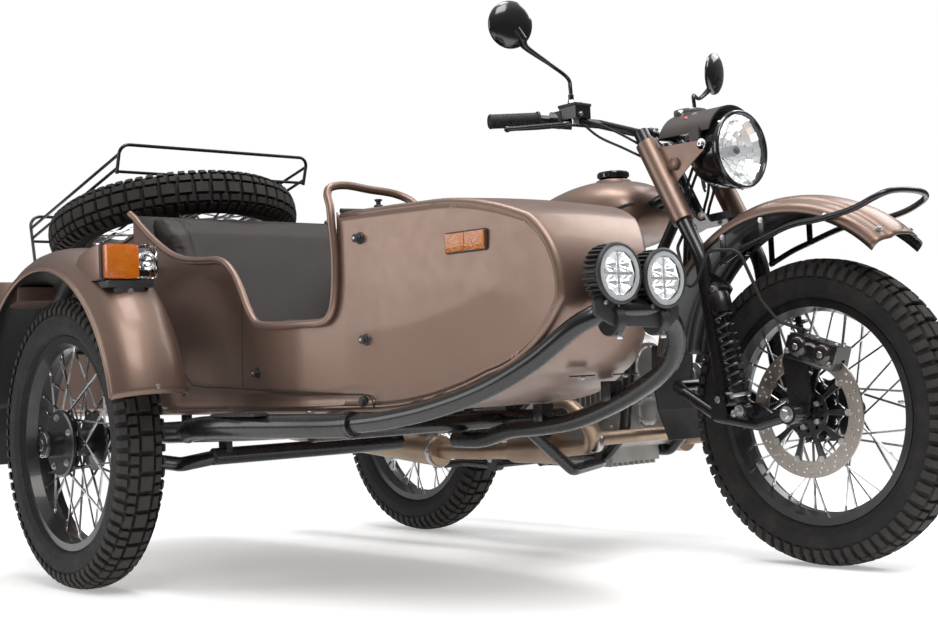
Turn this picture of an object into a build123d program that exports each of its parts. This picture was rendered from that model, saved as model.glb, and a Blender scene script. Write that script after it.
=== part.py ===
"""Sidecar motorcycle: flat twin with a leading-link fork, shaft drive and a passenger sidecar on its right.

Design points are given as distances ahead of the rear axle (x), left of the motorcycle's
centre-plane (y, so the sidecar is negative) and above the ground (z). at() turns them into
the part's own frame, whose origin is on the ground under the middle of the whole vehicle.
"""
from build123d import *
import math
import os

os.makedirs("parts", exist_ok=True)

# ---------------------------------------------------------------- driving dimensions (mm)
WHEELBASE = 1500.0
TRACK = 1225.0            # motorcycle centre-plane to sidecar wheel
LEAD = 245.0              # sidecar axle ahead of the rear axle

TYRE_R = 350.0            # out to the tips of the lugs
TYRE_HALF_W = 57.0
LUG_H = 11.0
LUG_COUNT = 32
RIM_R = 256.0             # edge of the rim flange
RIM_SEAT_R = 243.0
RIM_HALF_W = 37.0
RIM_WALL = 4.0
BEAD_GAP = 0.3
SPOKE_COUNT = 36
SPOKE_W = 4.2
SPOKE_LEAN = 52.0         # degrees that a spoke's hub end stands round from its rim end
HUB_FLANGE_R = 70.0
HUB_FLANGE_Y = 33.0
HUB_HALF_W = 48.0
HUB_BARREL_R = 33.0
AXLE_R = 12.5
AXLE_GAP = 0.05

DISC_R = 147.5
DISC_INNER_R = 108.0
DISC_T = 5.0
DISC_Y = 57.0             # rotor's middle, to the right of the wheel's middle

RAKE = 28.0               # degrees from the vertical
STEER_X = 1052.0          # steering axis at the top yoke
STEER_Z = 1009.0
FORK_OFFSET = 45.0        # legs ahead of the steering axis
FORK_Y = 108.0
LEG_R = 19.0
LEG_KNEE = 355.0          # top yoke to the bend, along the steering axis
PIVOT_X = 1303.0
PIVOT_Z = 385.0
YOKE_T = 22.0
LOWER_YOKE = 205.0        # top of the lower yoke below the top yoke's middle
STEM_R = 15.0
HEAD_R = 29.0
RUN_GAP = 0.05

LAMP_X = 1308.0           # face of the main headlamp
LAMP_Z = 982.0
LAMP_R = 91.0
LAMP_DEPTH = 128.0

BAR_R = 11.1
GRIP_R = 17.0
GRIP_END_Y = 403.0

BODY_Y = -725.0           # sidecar body's own centre-plane
BODY_HALF_W = 293.0
NOSE_HALF_W = 202.0
BODY_FRONT = 1625.0
BODY_REAR = -560.0
TAPER_X = 900.0           # sides run parallel up to here, then draw in to the nose
BODY_FLOOR = 403.0
BODY_WALL = 6.0
COWL_REAR_X = 1041.0      # front edge of the cockpit opening
COWL_Z = 825.0
HATCH_X = 150.0           # hinge line of the luggage lid
HATCH_Z = 862.0
HATCH_SLOPE = 12.3        # degrees that the lid falls towards the rear
LID_T = 7.0
LID_GAP = 6.0
TRIM_R = 9.0              # tube round the cockpit edge

GUARD_R = 382.0           # sidecar mudguard: edge radius
GUARD_Z = 380.0           # centre of the mudguard's curve
GUARD_OUT_Y = -1325.0
GUARD_IN_Y = -1145.0
SHEET = 3.0

CRASH_R = 19.0
FRAME_R = 14.0

MIRROR_R = 48.0
MIRROR_Y = 400.0

# ---------------------------------------------------------------- the part's own frame
X_FRONT = WHEELBASE + TYRE_R
X_REAR = BODY_REAR - 3.5  # knuckles of the luggage lid
Y_LEFT = MIRROR_Y + MIRROR_R - 2.25
MID_X = (X_FRONT + X_REAR) / 2
MID_Y = (Y_LEFT + GUARD_OUT_Y) / 2


def at(x, y, z):
    """Point of the part's frame: x ahead of the rear axle, y left of the centre-plane, z above the ground."""
    return Vector(x - MID_X, y - MID_Y, z)


def side(y):
    """Upright plane seen from the right: local x is forward, local y is up, its normal points right."""
    return Plane(origin=at(0, y, 0), x_dir=(1, 0, 0), z_dir=(0, -1, 0))


def level(z):
    """Level plane: local x is forward, local y is left."""
    return Plane(origin=at(0, 0, z), x_dir=(1, 0, 0), z_dir=(0, 0, 1))


def across(x):
    """Upright plane across the vehicle: local x is left, local y is up, its normal points forward."""
    return Plane(origin=at(x, 0, 0), x_dir=(0, 1, 0), z_dir=(1, 0, 0))


rake_s = math.sin(math.radians(RAKE))
rake_c = math.cos(math.radians(RAKE))
STEER_AXIS = (-rake_s, 0, rake_c)


def steer(h=0.0):
    """Plane square to the steering axis, h below the top yoke: local x is forward, local y is left."""
    return Plane(
        origin=at(STEER_X + h * rake_s, 0, STEER_Z - h * rake_c),
        x_dir=(rake_c, 0, rake_s),
        z_dir=STEER_AXIS,
    )


def fork_point(forward, left, h):
    """Design point from distances ahead of the steering axis, left of it, and below the top yoke."""
    x = STEER_X + h * rake_s + forward * rake_c
    z = STEER_Z - h * rake_c + forward * rake_s
    return (x, left, z)


def tube(points, radius, bend=40.0):
    """Round bar along design points, with bends of one radius, added to the open BuildPart."""
    corners = [at(*p) for p in points]
    with BuildLine(mode=Mode.PRIVATE) as course:
        if len(corners) > 2:
            FilletPolyline(*corners, radius=bend)
        else:
            Line(*corners)
    path = course.wire()
    with BuildSketch(Plane(origin=path @ 0, z_dir=path % 0)) as section:
        Circle(radius)
    sweep(section.sketch, path=path)


def rod(start, end, radius, mode=Mode.ADD):
    """Round bar straight from one design point to another."""
    a = at(*start)
    b = at(*end)
    with BuildSketch(Plane(origin=a, z_dir=b - a)) as section:
        Circle(radius)
    extrude(section.sketch, amount=(b - a).length, mode=mode)


def box(low, high, mode=Mode.ADD):
    """Block between two corners given as design points."""
    a = at(*low)
    b = at(*high)
    with BuildSketch(Plane.XY.offset(a.Z)) as section:
        with Locations(((a.X + b.X) / 2, (a.Y + b.Y) / 2)):
            Rectangle(abs(b.X - a.X), abs(b.Y - a.Y))
    extrude(section.sketch, amount=b.Z - a.Z, mode=mode)


# ---------------------------------------------------------------- wire wheel, drawn once about the origin
radial = Plane(origin=(0, 0, 0), x_dir=(0, 1, 0), z_dir=(1, 0, 0))

with BuildPart() as wheel:
    with BuildSketch(radial):
        with BuildLine():
            Polyline(
                (-RIM_HALF_W, RIM_R), (-RIM_HALF_W + RIM_WALL, RIM_R), (-RIM_HALF_W + RIM_WALL, RIM_SEAT_R),
                (RIM_HALF_W - RIM_WALL, RIM_SEAT_R), (RIM_HALF_W - RIM_WALL, RIM_R), (RIM_HALF_W, RIM_R),
                (RIM_HALF_W, RIM_SEAT_R - RIM_WALL), (12, RIM_SEAT_R - 14), (-12, RIM_SEAT_R - 14),
                (-RIM_HALF_W, RIM_SEAT_R - RIM_WALL), close=True,
            )
        make_face()
    revolve(axis=Axis.Y)
    with BuildSketch(radial):
        with BuildLine():
            Polyline(
                (-HUB_HALF_W, AXLE_R + AXLE_GAP), (-HUB_HALF_W, HUB_BARREL_R),
                (-HUB_FLANGE_Y - 4, HUB_BARREL_R), (-HUB_FLANGE_Y - 4, HUB_FLANGE_R),
                (-HUB_FLANGE_Y + 3, HUB_FLANGE_R), (-HUB_FLANGE_Y + 10, HUB_BARREL_R),
                (HUB_FLANGE_Y - 10, HUB_BARREL_R), (HUB_FLANGE_Y - 3, HUB_FLANGE_R),
                (HUB_FLANGE_Y + 4, HUB_FLANGE_R), (HUB_FLANGE_Y + 4, HUB_BARREL_R),
                (HUB_HALF_W, HUB_BARREL_R), (HUB_HALF_W, AXLE_R + AXLE_GAP), close=True,
            )
        make_face()
    revolve(axis=Axis.Y)
    # spokes: pairs lean opposite ways, and flanges alternate
    for i in range(SPOKE_COUNT):
        flange = 1 if i % 2 == 0 else -1
        lean = SPOKE_LEAN if (i // 2) % 2 == 0 else -SPOKE_LEAN
        rim_a = math.radians(i * 360 / SPOKE_COUNT)
        hub_a = math.radians(i * 360 / SPOKE_COUNT + lean)
        hub_r = HUB_FLANGE_R - 6
        rim_r = RIM_SEAT_R - 8
        a = Vector(hub_r * math.cos(hub_a), flange * HUB_FLANGE_Y, hub_r * math.sin(hub_a))
        b = Vector(rim_r * math.cos(rim_a), flange * 6, rim_r * math.sin(rim_a))
        with BuildSketch(Plane(origin=a, z_dir=b - a)):
            Rectangle(SPOKE_W, SPOKE_W)
    extrude(amount=(b - a).length)

# tyre: a smooth case with three staggered rows of blocks round it
LUG_L = 40.0              # along the tread
LUG_SINK = 9.0            # that a block reaches into the case
CASE_R = TYRE_R - LUG_H
CASE_HALF_W = 53.0
BEAD_Y = RIM_HALF_W - RIM_WALL - BEAD_GAP
# row of blocks: outline as (y, radius), part of a pitch that the row is turned
lug_rows = [
    ([(-17, CASE_R - LUG_SINK), (-17, TYRE_R), (17, TYRE_R), (17, CASE_R - LUG_SINK)], 0.0),
    ([(24, 330), (24, 347), (44, 342), (TYRE_HALF_W, 325), (TYRE_HALF_W, 305), (48, 300)], 0.5),
    ([(-24, 330), (-24, 347), (-44, 342), (-TYRE_HALF_W, 325), (-TYRE_HALF_W, 305), (-48, 300)], 0.5),
]


def spin(degrees):
    """Half-plane through the wheel's axis, turned about it: local x is left, local y is out from the axle."""
    a = math.radians(degrees)
    return Plane(origin=(0, 0, 0), x_dir=(0, 1, 0), z_dir=(math.cos(a), 0, -math.sin(a)))


with BuildPart() as tyre:
    with BuildSketch(radial):
        with BuildLine():
            Polyline(
                (-BEAD_Y, RIM_SEAT_R + BEAD_GAP), (BEAD_Y, RIM_SEAT_R + BEAD_GAP), (BEAD_Y, RIM_R + 2),
                (46, 266), (CASE_HALF_W, 284), (CASE_HALF_W, 308), (46, 326), (24, CASE_R - 3), (0, CASE_R),
                (-24, CASE_R - 3), (-46, 326), (-CASE_HALF_W, 308), (-CASE_HALF_W, 284), (-46, 266),
                (-BEAD_Y, RIM_R + 2), close=True,
            )
        make_face()
    revolve(axis=Axis.Y)
    for outline, turn in lug_rows:
        with BuildSketch(*[spin((i + turn) * 360 / LUG_COUNT) for i in range(LUG_COUNT)]):
            with BuildLine():
                Polyline(*outline, close=True)
            make_face()
        extrude(amount=LUG_L / 2, both=True)

# ---------------------------------------------------------------- wheels in their places
with BuildPart() as front_wheel:
    with Locations(Location(at(WHEELBASE, 0, TYRE_R))):
        add(wheel.part)

with BuildPart() as front_tyre:
    with Locations(Location(at(WHEELBASE, 0, TYRE_R))):
        add(tyre.part)

with BuildPart() as rear_wheel:
    with Locations(Location(at(0, 0, TYRE_R))):
        add(wheel.part)

with BuildPart() as rear_tyre:
    with Locations(Location(at(0, 0, TYRE_R))):
        add(tyre.part)

COVER_R = 80.0            # plate and cap on the sidecar hub's outer end
CAP_R = 31.0
CAP_L = 42.0
with BuildPart() as sidecar_wheel:
    with Locations(Location(at(LEAD, -TRACK, TYRE_R))):
        add(wheel.part)
    with BuildSketch(Plane(origin=at(LEAD, -TRACK, TYRE_R), x_dir=(0, 1, 0), z_dir=(1, 0, 0))):
        with BuildLine():
            Polyline(
                (-HUB_HALF_W + 2, 0), (-HUB_HALF_W + 2, COVER_R), (-HUB_HALF_W - 5, COVER_R),
                (-HUB_HALF_W - 8, COVER_R - 5), (-HUB_HALF_W - 9, CAP_R), (-HUB_HALF_W - CAP_L, CAP_R),
                (-HUB_HALF_W - CAP_L - 5, CAP_R - 7),
                (-HUB_HALF_W - CAP_L - 6, 12), (-HUB_HALF_W - CAP_L - 6, 0),
                close=True,
            )
        make_face()
    revolve(axis=Axis(at(LEAD, -TRACK, TYRE_R), (0, 1, 0)))

with BuildPart() as sidecar_tyre:
    with Locations(Location(at(LEAD, -TRACK, TYRE_R))):
        add(tyre.part)

# front brake rotor on its carrier of curved spokes
CARRIER_ARMS = 10
with BuildPart() as front_disc:
    with BuildSketch(side(-DISC_Y + DISC_T / 2)):
        with Locations((WHEELBASE, TYRE_R)):
            Circle(DISC_R)
            Circle(DISC_INNER_R, mode=Mode.SUBTRACT)
            with PolarLocations((DISC_INNER_R + 50) / 2, CARRIER_ARMS):
                Rectangle(DISC_INNER_R - 42, 9)
            with PolarLocations(DISC_INNER_R + 2, CARRIER_ARMS):
                Circle(7)
            Circle(56)
            Circle(AXLE_R + 3, mode=Mode.SUBTRACT)
    extrude(amount=DISC_T)
    # boss against the hub's end
    with BuildSketch(side(-HUB_HALF_W - BEAD_GAP)):
        with Locations((WHEELBASE, TYRE_R)):
            Circle(44)
            Circle(AXLE_R + 3, mode=Mode.SUBTRACT)
    extrude(amount=DISC_Y - HUB_HALF_W - BEAD_GAP)

# ---------------------------------------------------------------- leading-link fork
SHOCK_FOOT = (1382, 360)
SHOCK_HEAD = (1326, 642)
SHOCK_PLATE = 5.0         # half the thickness of the plates that hold the shocks
SHOCK_Y = 138.0
with BuildPart() as fork:
    for s in (-1, 1):
        tube(
            [fork_point(FORK_OFFSET, s * FORK_Y, -24), fork_point(FORK_OFFSET, s * FORK_Y, LEG_KNEE),
             (PIVOT_X, s * FORK_Y, PIVOT_Z)],
            LEG_R, 140,
        )
        rod((PIVOT_X, s * (FORK_Y - 17), PIVOT_Z), (PIVOT_X, s * (FORK_Y + 17), PIVOT_Z), 24)
        # plate that carries the shock's head
        with BuildSketch(side(s * FORK_Y)):
            with BuildLine():
                Polyline(
                    (1258, 700), (1262, 600), (SHOCK_HEAD[0] + 4, SHOCK_HEAD[1] - 17),
                    (SHOCK_HEAD[0] + 16, SHOCK_HEAD[1]), (SHOCK_HEAD[0] + 4, SHOCK_HEAD[1] + 17), close=True,
                )
            make_face()
        extrude(amount=SHOCK_PLATE, both=True)
    for h in (0, LOWER_YOKE + YOKE_T / 2):
        with BuildSketch(steer(h + YOKE_T / 2)):
            Circle(33)
            for s in (-1, 1):
                with Locations((FORK_OFFSET / 2, s * FORK_Y / 2)):
                    SlotCenterToCenter(
                        math.hypot(FORK_OFFSET, FORK_Y), 32, rotation=math.degrees(math.atan2(s * FORK_Y,
                            FORK_OFFSET)),
                    )
        extrude(amount=YOKE_T)
    rod(fork_point(0, 0, LOWER_YOKE + YOKE_T), fork_point(0, 0, -20), STEM_R)

# bronze sleeves over the upper legs, each with the ear that holds the headlamp
EAR_T = 4.0
EAR_Y = 101.0
SLEEVE_R = 27.0
SLEEVE_L = 243.0
with BuildPart() as fork_covers:
    for s in (-1, 1):
        rod(fork_point(FORK_OFFSET, s * FORK_Y, SLEEVE_L), fork_point(FORK_OFFSET, s * FORK_Y,
            YOKE_T / 2 + 1), SLEEVE_R)
        with BuildSketch(side(s * EAR_Y + EAR_T / 2)):
            with BuildLine():
                a = fork_point(FORK_OFFSET + 12, 0, 34)
                b = fork_point(FORK_OFFSET + 12, 0, 150)
                Polyline((a[0], a[2]), (LAMP_X - 66, LAMP_Z + 22), (LAMP_X - 34, LAMP_Z + 18),
                    (LAMP_X - 34, LAMP_Z - 4))
                ThreePointArc((LAMP_X - 34, LAMP_Z - 4), (LAMP_X - 80, LAMP_Z - 34), (b[0], b[2]))
                Line((b[0], b[2]), (a[0], a[2]))
            make_face()
        extrude(amount=EAR_T)
        rod((1182, s * 96, 958), (1182, s * 108, 958), 15)
        rod(fork_point(FORK_OFFSET, s * FORK_Y, SLEEVE_L + 5), fork_point(FORK_OFFSET, s * FORK_Y, -30),
            LEG_R + BEAD_GAP, mode=Mode.SUBTRACT)
    with BuildSketch(steer(LOWER_YOKE + YOKE_T + BEAD_GAP)):
        for s in (-1, 1):
            with Locations((FORK_OFFSET / 2, s * FORK_Y / 2)):
                SlotCenterToCenter(
                    math.hypot(FORK_OFFSET, FORK_Y), 32 + 2 * BEAD_GAP,
                    rotation=math.degrees(math.atan2(s * FORK_Y, FORK_OFFSET)),
                )
    extrude(amount=YOKE_T + 2 * BEAD_GAP, mode=Mode.SUBTRACT)

# link: a U-shaped tube behind the tyre, its arms running forward to the axle
LINK_R = 14.0
LINK_BACK_X = 1122.0
LINK_DROP = 42.0          # link tube's axis below the pivot
LUG_T = 6.0
with BuildPart() as leading_link:
    tube(
        [(WHEELBASE, FORK_Y, TYRE_R), (1400, FORK_Y, 326), (PIVOT_X - 16, FORK_Y, PIVOT_Z - LINK_DROP),
         (1180, FORK_Y, 402),
         (LINK_BACK_X, 70, 420), (LINK_BACK_X, -70, 420),
         (1180, -FORK_Y, 402), (PIVOT_X - 16, -FORK_Y, PIVOT_Z - LINK_DROP),
         (1400, -FORK_Y, 326), (WHEELBASE, -FORK_Y, TYRE_R)],
        LINK_R, 30,
    )
    for s in (-1, 1):
        rod((WHEELBASE, s * 88, TYRE_R), (WHEELBASE, s * 132, TYRE_R), 23)
        # lugs beside the fork's pivot, on a saddle over the tube
        for lug_y in (s * (FORK_Y - 26), s * (FORK_Y + 20)):
            with BuildSketch(side(lug_y + LUG_T if s > 0 else lug_y)):
                with BuildLine():
                    Polyline(
                        (PIVOT_X - 22, PIVOT_Z - 44), (PIVOT_X + 24, PIVOT_Z - 44),
                        (PIVOT_X + 18, PIVOT_Z + 12),
                        (PIVOT_X - 18, PIVOT_Z + 12), close=True,
                    )
                make_face()
            extrude(amount=LUG_T)
        box((PIVOT_X - 22, s * FORK_Y - 26, PIVOT_Z - 46), (PIVOT_X + 24, s * FORK_Y + 26, PIVOT_Z - 34))
        # gusset up to the shock's foot
        with BuildSketch(side(s * FORK_Y)):
            with BuildLine():
                Polyline(
                    (1345, 332), (1358, 376), (1404, 376), (1440, 352), (1480, TYRE_R + 10),
                    (1480, 342), (1400, 320), close=True,
                )
            make_face()
        extrude(amount=SHOCK_PLATE, both=True)
    rod((WHEELBASE, -134, TYRE_R), (WHEELBASE, 134, TYRE_R), AXLE_R)
    # caliper bracket and caliper over the top of the rotor
    with BuildSketch(side(-78)):
        with BuildLine():
            Polyline(
                (WHEELBASE - 24, TYRE_R), (WHEELBASE - 40, 470), (WHEELBASE - 18, 520), (WHEELBASE + 20, 500),
                (WHEELBASE + 30, TYRE_R + 40), (WHEELBASE + 20, TYRE_R), close=True,
            )
        make_face()
    extrude(amount=10)
    with BuildSketch(side(-36)):
        with Locations((WHEELBASE + 42, 487)):
            Rectangle(130, 54, rotation=-18)
    extrude(amount=54)
    with BuildSketch(side(-DISC_Y + DISC_T / 2 + 3)):
        with Locations((WHEELBASE, TYRE_R)):
            Circle(DISC_R + 6)
            Circle(DISC_INNER_R - 16, mode=Mode.SUBTRACT)
    extrude(amount=DISC_T + 6, mode=Mode.SUBTRACT)

# shock absorbers, coil over damper
COILS = 9


def coil_shock(foot, head, seat_y, foot_seat, head_seat):
    """Shock absorber from foot to head (design points), its bolts reaching in to y = seat."""
    run = [head[k] - foot[k] for k in range(3)]

    def on_axis(t):
        return tuple(foot[k] + run[k] * t for k in range(3))

    rod(on_axis(0.0), on_axis(1.0), 9)
    rod(on_axis(0.02), on_axis(0.19), 17)
    rod(on_axis(0.76), on_axis(0.97), 25)
    for i in range(COILS):
        rod(on_axis(0.22 + 0.06 * i), on_axis(0.242 + 0.06 * i), 24)
    rod((foot[0], foot_seat, foot[2]), (foot[0], seat_y, foot[2]), 13)
    rod((head[0], head_seat, head[2]), (head[0], seat_y, head[2]), 13)


with BuildPart() as front_shocks:
    for s in (-1, 1):
        inner = s * (FORK_Y + SHOCK_PLATE + BEAD_GAP)
        coil_shock(
            (SHOCK_FOOT[0], s * SHOCK_Y, SHOCK_FOOT[1]), (SHOCK_HEAD[0], s * SHOCK_Y, SHOCK_HEAD[1]),
            s * (SHOCK_Y + 13), inner, inner,
        )

# brake hose: from the lower yoke, round the outside of the right leg and over to the caliper
HOSE_R = 4.0
HOSE_FOOT = (1502.9, -72, 528.5)
hose_line = [
    fork_point(20, -70, LOWER_YOKE + YOKE_T + 12), (1178, -105, 755), (1243, -143, 618), (1306, -143, 735),
    (1388, -132, 728), (1424, -106, 610), (1455, -88, 560), (1505.9, -72, 537.8),
]
with BuildPart() as brake_hose:
    tube(hose_line, HOSE_R, 32)
    rod(fork_point(20, -70, LOWER_YOKE + YOKE_T + BEAD_GAP), fork_point(20, -70, LOWER_YOKE + YOKE_T + 14), 7)
    rod(HOSE_FOOT, (1507.2, -72, 541.8), 8)

# ---------------------------------------------------------------- headlamp and instruments
with BuildPart() as headlamp:
    with BuildSketch(Plane(origin=at(LAMP_X, 0, LAMP_Z), x_dir=(1, 0, 0), z_dir=(0, -1, 0))):
        with BuildLine():
            Polyline((-LAMP_DEPTH, 0), (-LAMP_DEPTH, 42))
            ThreePointArc((-LAMP_DEPTH, 42), (-LAMP_DEPTH + 44, 78), (-40, LAMP_R))
            Polyline(
                (-40, LAMP_R), (-14, LAMP_R + 3), (2, LAMP_R + 3), (2, LAMP_R - 6), (-8, LAMP_R - 6), (-8, 0),
                (-LAMP_DEPTH, 0),
            )
        make_face()
    revolve(axis=Axis(at(LAMP_X, 0, LAMP_Z), (1, 0, 0)))
    for s in (-1, 1):
        rod((LAMP_X - 52, s * 84, LAMP_Z), (LAMP_X - 52, s * (EAR_Y - EAR_T / 2 - BEAD_GAP), LAMP_Z), 9)

with BuildPart() as headlamp_lens:
    with BuildSketch(Plane(origin=at(LAMP_X, 0, LAMP_Z), x_dir=(1, 0, 0), z_dir=(0, -1, 0))):
        with BuildLine():
            Polyline((8, 0), (-7.7, 0), (-7.7, LAMP_R - 6.3), (1, LAMP_R - 6.3), (5.6, LAMP_R * 0.55), (8, 0))
        make_face()
    revolve(axis=Axis(at(LAMP_X, 0, LAMP_Z), (1, 0, 0)))

COWL_SKIN = 4.0
COWL_R = 100.0
COWL_BACK = 1124.0
with BuildPart() as gauge_cowl:
    with BuildSketch(across(COWL_BACK)):
        with Locations((0, LAMP_Z + 12)):
            Circle(COWL_R)
            Circle(COWL_R - COWL_SKIN, mode=Mode.SUBTRACT)
            with Locations((0, -COWL_R + 34)):
                Rectangle(4 * COWL_R, 2 * COWL_R, mode=Mode.SUBTRACT)
    extrude(amount=LAMP_X - 24 - COWL_BACK)
    with BuildSketch(level(LAMP_Z + 12 + COWL_R - 8)):
        with Locations((1150, 0)):
            Circle(38)
    extrude(amount=14)
    for s in (-1, 1):
        inner = s * (EAR_Y - EAR_T / 2 - BEAD_GAP)
        box((LAMP_X - 80, min(s * 91, inner), 992), (LAMP_X - 50, max(s * 91, inner), 1036))

# ---------------------------------------------------------------- handlebar
# point along the bar: x, y (left), z
bar_line = [(847, GRIP_END_Y, 1093), (905, 280, 1099), (1000, 170, 1080), (1059, 60, 1051)]
bar_points = bar_line + [(x, -y, z) for x, y, z in reversed(bar_line)]
with BuildPart() as handlebar:
    tube(bar_points, BAR_R, 40)
    for s in (-1, 1):
        rod((849.5, s * 397, 1093.3), (902.5, s * 285, 1098.7), GRIP_R)
        rod((918, s * 264, 1096.5), (955, s * 221, 1089.3), 20)
        box((948, s * 232 - 26, 1090), (1006, s * 232 + 26, 1124))
        tube([(985, s * 236, 1086), (968, s * 262, 1078), (905, s * 392, 1066)], 6, 20)
        rod(fork_point(26, s * 48, -YOKE_T / 2 - BEAD_GAP), fork_point(26, s * 48, -34), 13)
        rod((1059, s * 38, 1051), (1059, s * 58, 1051), 19)

with BuildPart() as mirrors:
    for s in (-1, 1):
        tube([(966, s * 232, 1125), (958, s * 232, 1196), (915, s * 376, 1296)], 5, 30)
        with BuildSketch(Plane(origin=at(908, s * MIRROR_Y, 1317), x_dir=(0, 1, 0), z_dir=(-0.94, s * -0.3,
            0.1))):
            Circle(MIRROR_R)
        extrude(amount=-14, taper=18)

# ---------------------------------------------------------------- front mudguard
FG_X = 1458.0             # centre of the mudguard's curve
FG_Z = 434.0
FG_R = 417.0              # to its crest
FG_HALF_W = 88.0
FG_FRONT = 46.0           # degrees up from forward to the front tip
FG_REAR = 171.0
FLAP_HALF_W = 72.0
front_a = math.radians(FG_FRONT)
with BuildPart() as front_mudguard:
    with BuildSketch(Plane(origin=at(FG_X, 0, FG_Z), x_dir=(0, 1, 0), z_dir=(math.sin(front_a), 0,
        -math.cos(front_a)))):
        with BuildLine():
            Polyline(
                (-FG_HALF_W, FG_R - 50), (-FG_HALF_W, FG_R - 38), (-42, FG_R - 12), (-28, FG_R - 2),
                (28, FG_R - 2),
                (42, FG_R - 12), (FG_HALF_W, FG_R - 38), (FG_HALF_W, FG_R - 50),
                (FG_HALF_W - SHEET, FG_R - 50),
                (FG_HALF_W - SHEET, FG_R - 40), (40, FG_R - 15), (27, FG_R - 5), (-27, FG_R - 5),
                (-40, FG_R - 15),
                (-FG_HALF_W + SHEET, FG_R - 40), (-FG_HALF_W + SHEET, FG_R - 50), close=True,
            )
        make_face()
    revolve(axis=Axis(at(FG_X, 0, FG_Z), (0, -1, 0)), revolution_arc=FG_REAR - FG_FRONT)
    # rubber flap hung from the rear edge
    with BuildSketch(side(FLAP_HALF_W)):
        with BuildLine():
            Polyline(
                (1046, 522), (1041, 440), (1056, 360), (1088, 284), (1092, 286), (1060, 361), (1045, 440),
                (1050, 521), close=True,
            )
        make_face()
    extrude(amount=2 * FLAP_HALF_W)
    # black hoop along both sides and round the front
    hoop = [(1300, 94, 705), (1423, 94, 772), (1537, 94, 790), (1640, 94, 786), (1722, 90, 808),
        (1752, 62, 830)]
    tube(hoop + [(x, -y, z) for x, y, z in reversed(hoop)], 7, 24)
    for s in (-1, 1):
        rod((1245.7, s * 80, 740.5), (1245.7, s * (FORK_Y - LEG_R - BEAD_GAP), 740.5), 9)
    # tabs from the mudguard's edge down to the hoop: x, z of the hoop, z of the edge
    for x, z_hoop, z_edge in ((1308, 709, 770), (1423, 772, 803), (1500, 784, 806)):
        for s in (-1, 1):
            box((x - 9, s * 88.5 - 3.5, z_hoop), (x + 9, s * 88.5 + 3.5, z_edge))

# ---------------------------------------------------------------- motorcycle frame
RAIL_Y = 120.0            # lower rails, left and right
RAIL_Z = 246.0
DOWN_X = 985.0            # foot of the down tubes
REAR_Y = 137.0            # rear uprights, where the drive shaft passes inside them
SADDLE_RAIL_Z = 722.0
TANK_Z = 770.0            # tank's lower edge
ENGINE_Z = 264.0          # crankcase's lower face
SWING_X = 405.0           # swingarm pivot tube
SWING_Z = 300.0
SWING_R = 14.0
STAND_X = 452.0           # centre stand's pivot
STAND_Z = 212.0
STAND_PIN_R = 7.0
with BuildPart() as frame:
    # steering head round the fork's stem
    rod(fork_point(0, 0, LOWER_YOKE - 3), fork_point(0, 0, YOKE_T / 2 + 3), HEAD_R)
    for s in (-1, 1):
        # down tube, lower rail and rise behind the gearbox in one run
        tube(
            [fork_point(-14, s * 18, 165), (1016, s * 100, 600), (DOWN_X, s * RAIL_Y, RAIL_Z + 60),
             (DOWN_X - 70, s * RAIL_Y, RAIL_Z), (430, s * RAIL_Y, RAIL_Z), (392, s * REAR_Y, 330),
             (380, s * 100, 690)],
            FRAME_R, 45,
        )
        # top tube into the saddle rail
        tube(
            [fork_point(-14, s * 12, 110), (800, s * 34, 806), (660, s * 86, SADDLE_RAIL_Z),
             (420, s * 100, SADDLE_RAIL_Z), (-300, s * 104, SADDLE_RAIL_Z)],
            FRAME_R, 60,
        )
        # rests for the tank's rear end and for the engine
        rod((592, s * 94, SADDLE_RAIL_Z), (592, s * 94, TANK_Z - BEAD_GAP), 8)
        for x in (700, 880):
            box((x, s * 105 - 13, 250), (x + 36, s * 105 + 13, ENGINE_Z - BEAD_GAP))
        # bracket for the centre stand
        box((STAND_X - 14, s * 107 - 5.5, STAND_Z - 14), (STAND_X + 14, s * 107 + 5.5, RAIL_Z))
    for x, z in ((-285, SADDLE_RAIL_Z), (60, SADDLE_RAIL_Z + 5)):
        rod((x, -104, z), (x, 104, z), 8)
    rod((SWING_X, -RAIL_Y - 8, SWING_Z), (SWING_X, RAIL_Y + 8, SWING_Z), SWING_R)
    rod((STAND_X, -107, STAND_Z), (STAND_X, 107, STAND_Z), STAND_PIN_R)
    rod(fork_point(0, 0, LOWER_YOKE + 20), fork_point(0, 0, -20), STEM_R + RUN_GAP, mode=Mode.SUBTRACT)

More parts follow.
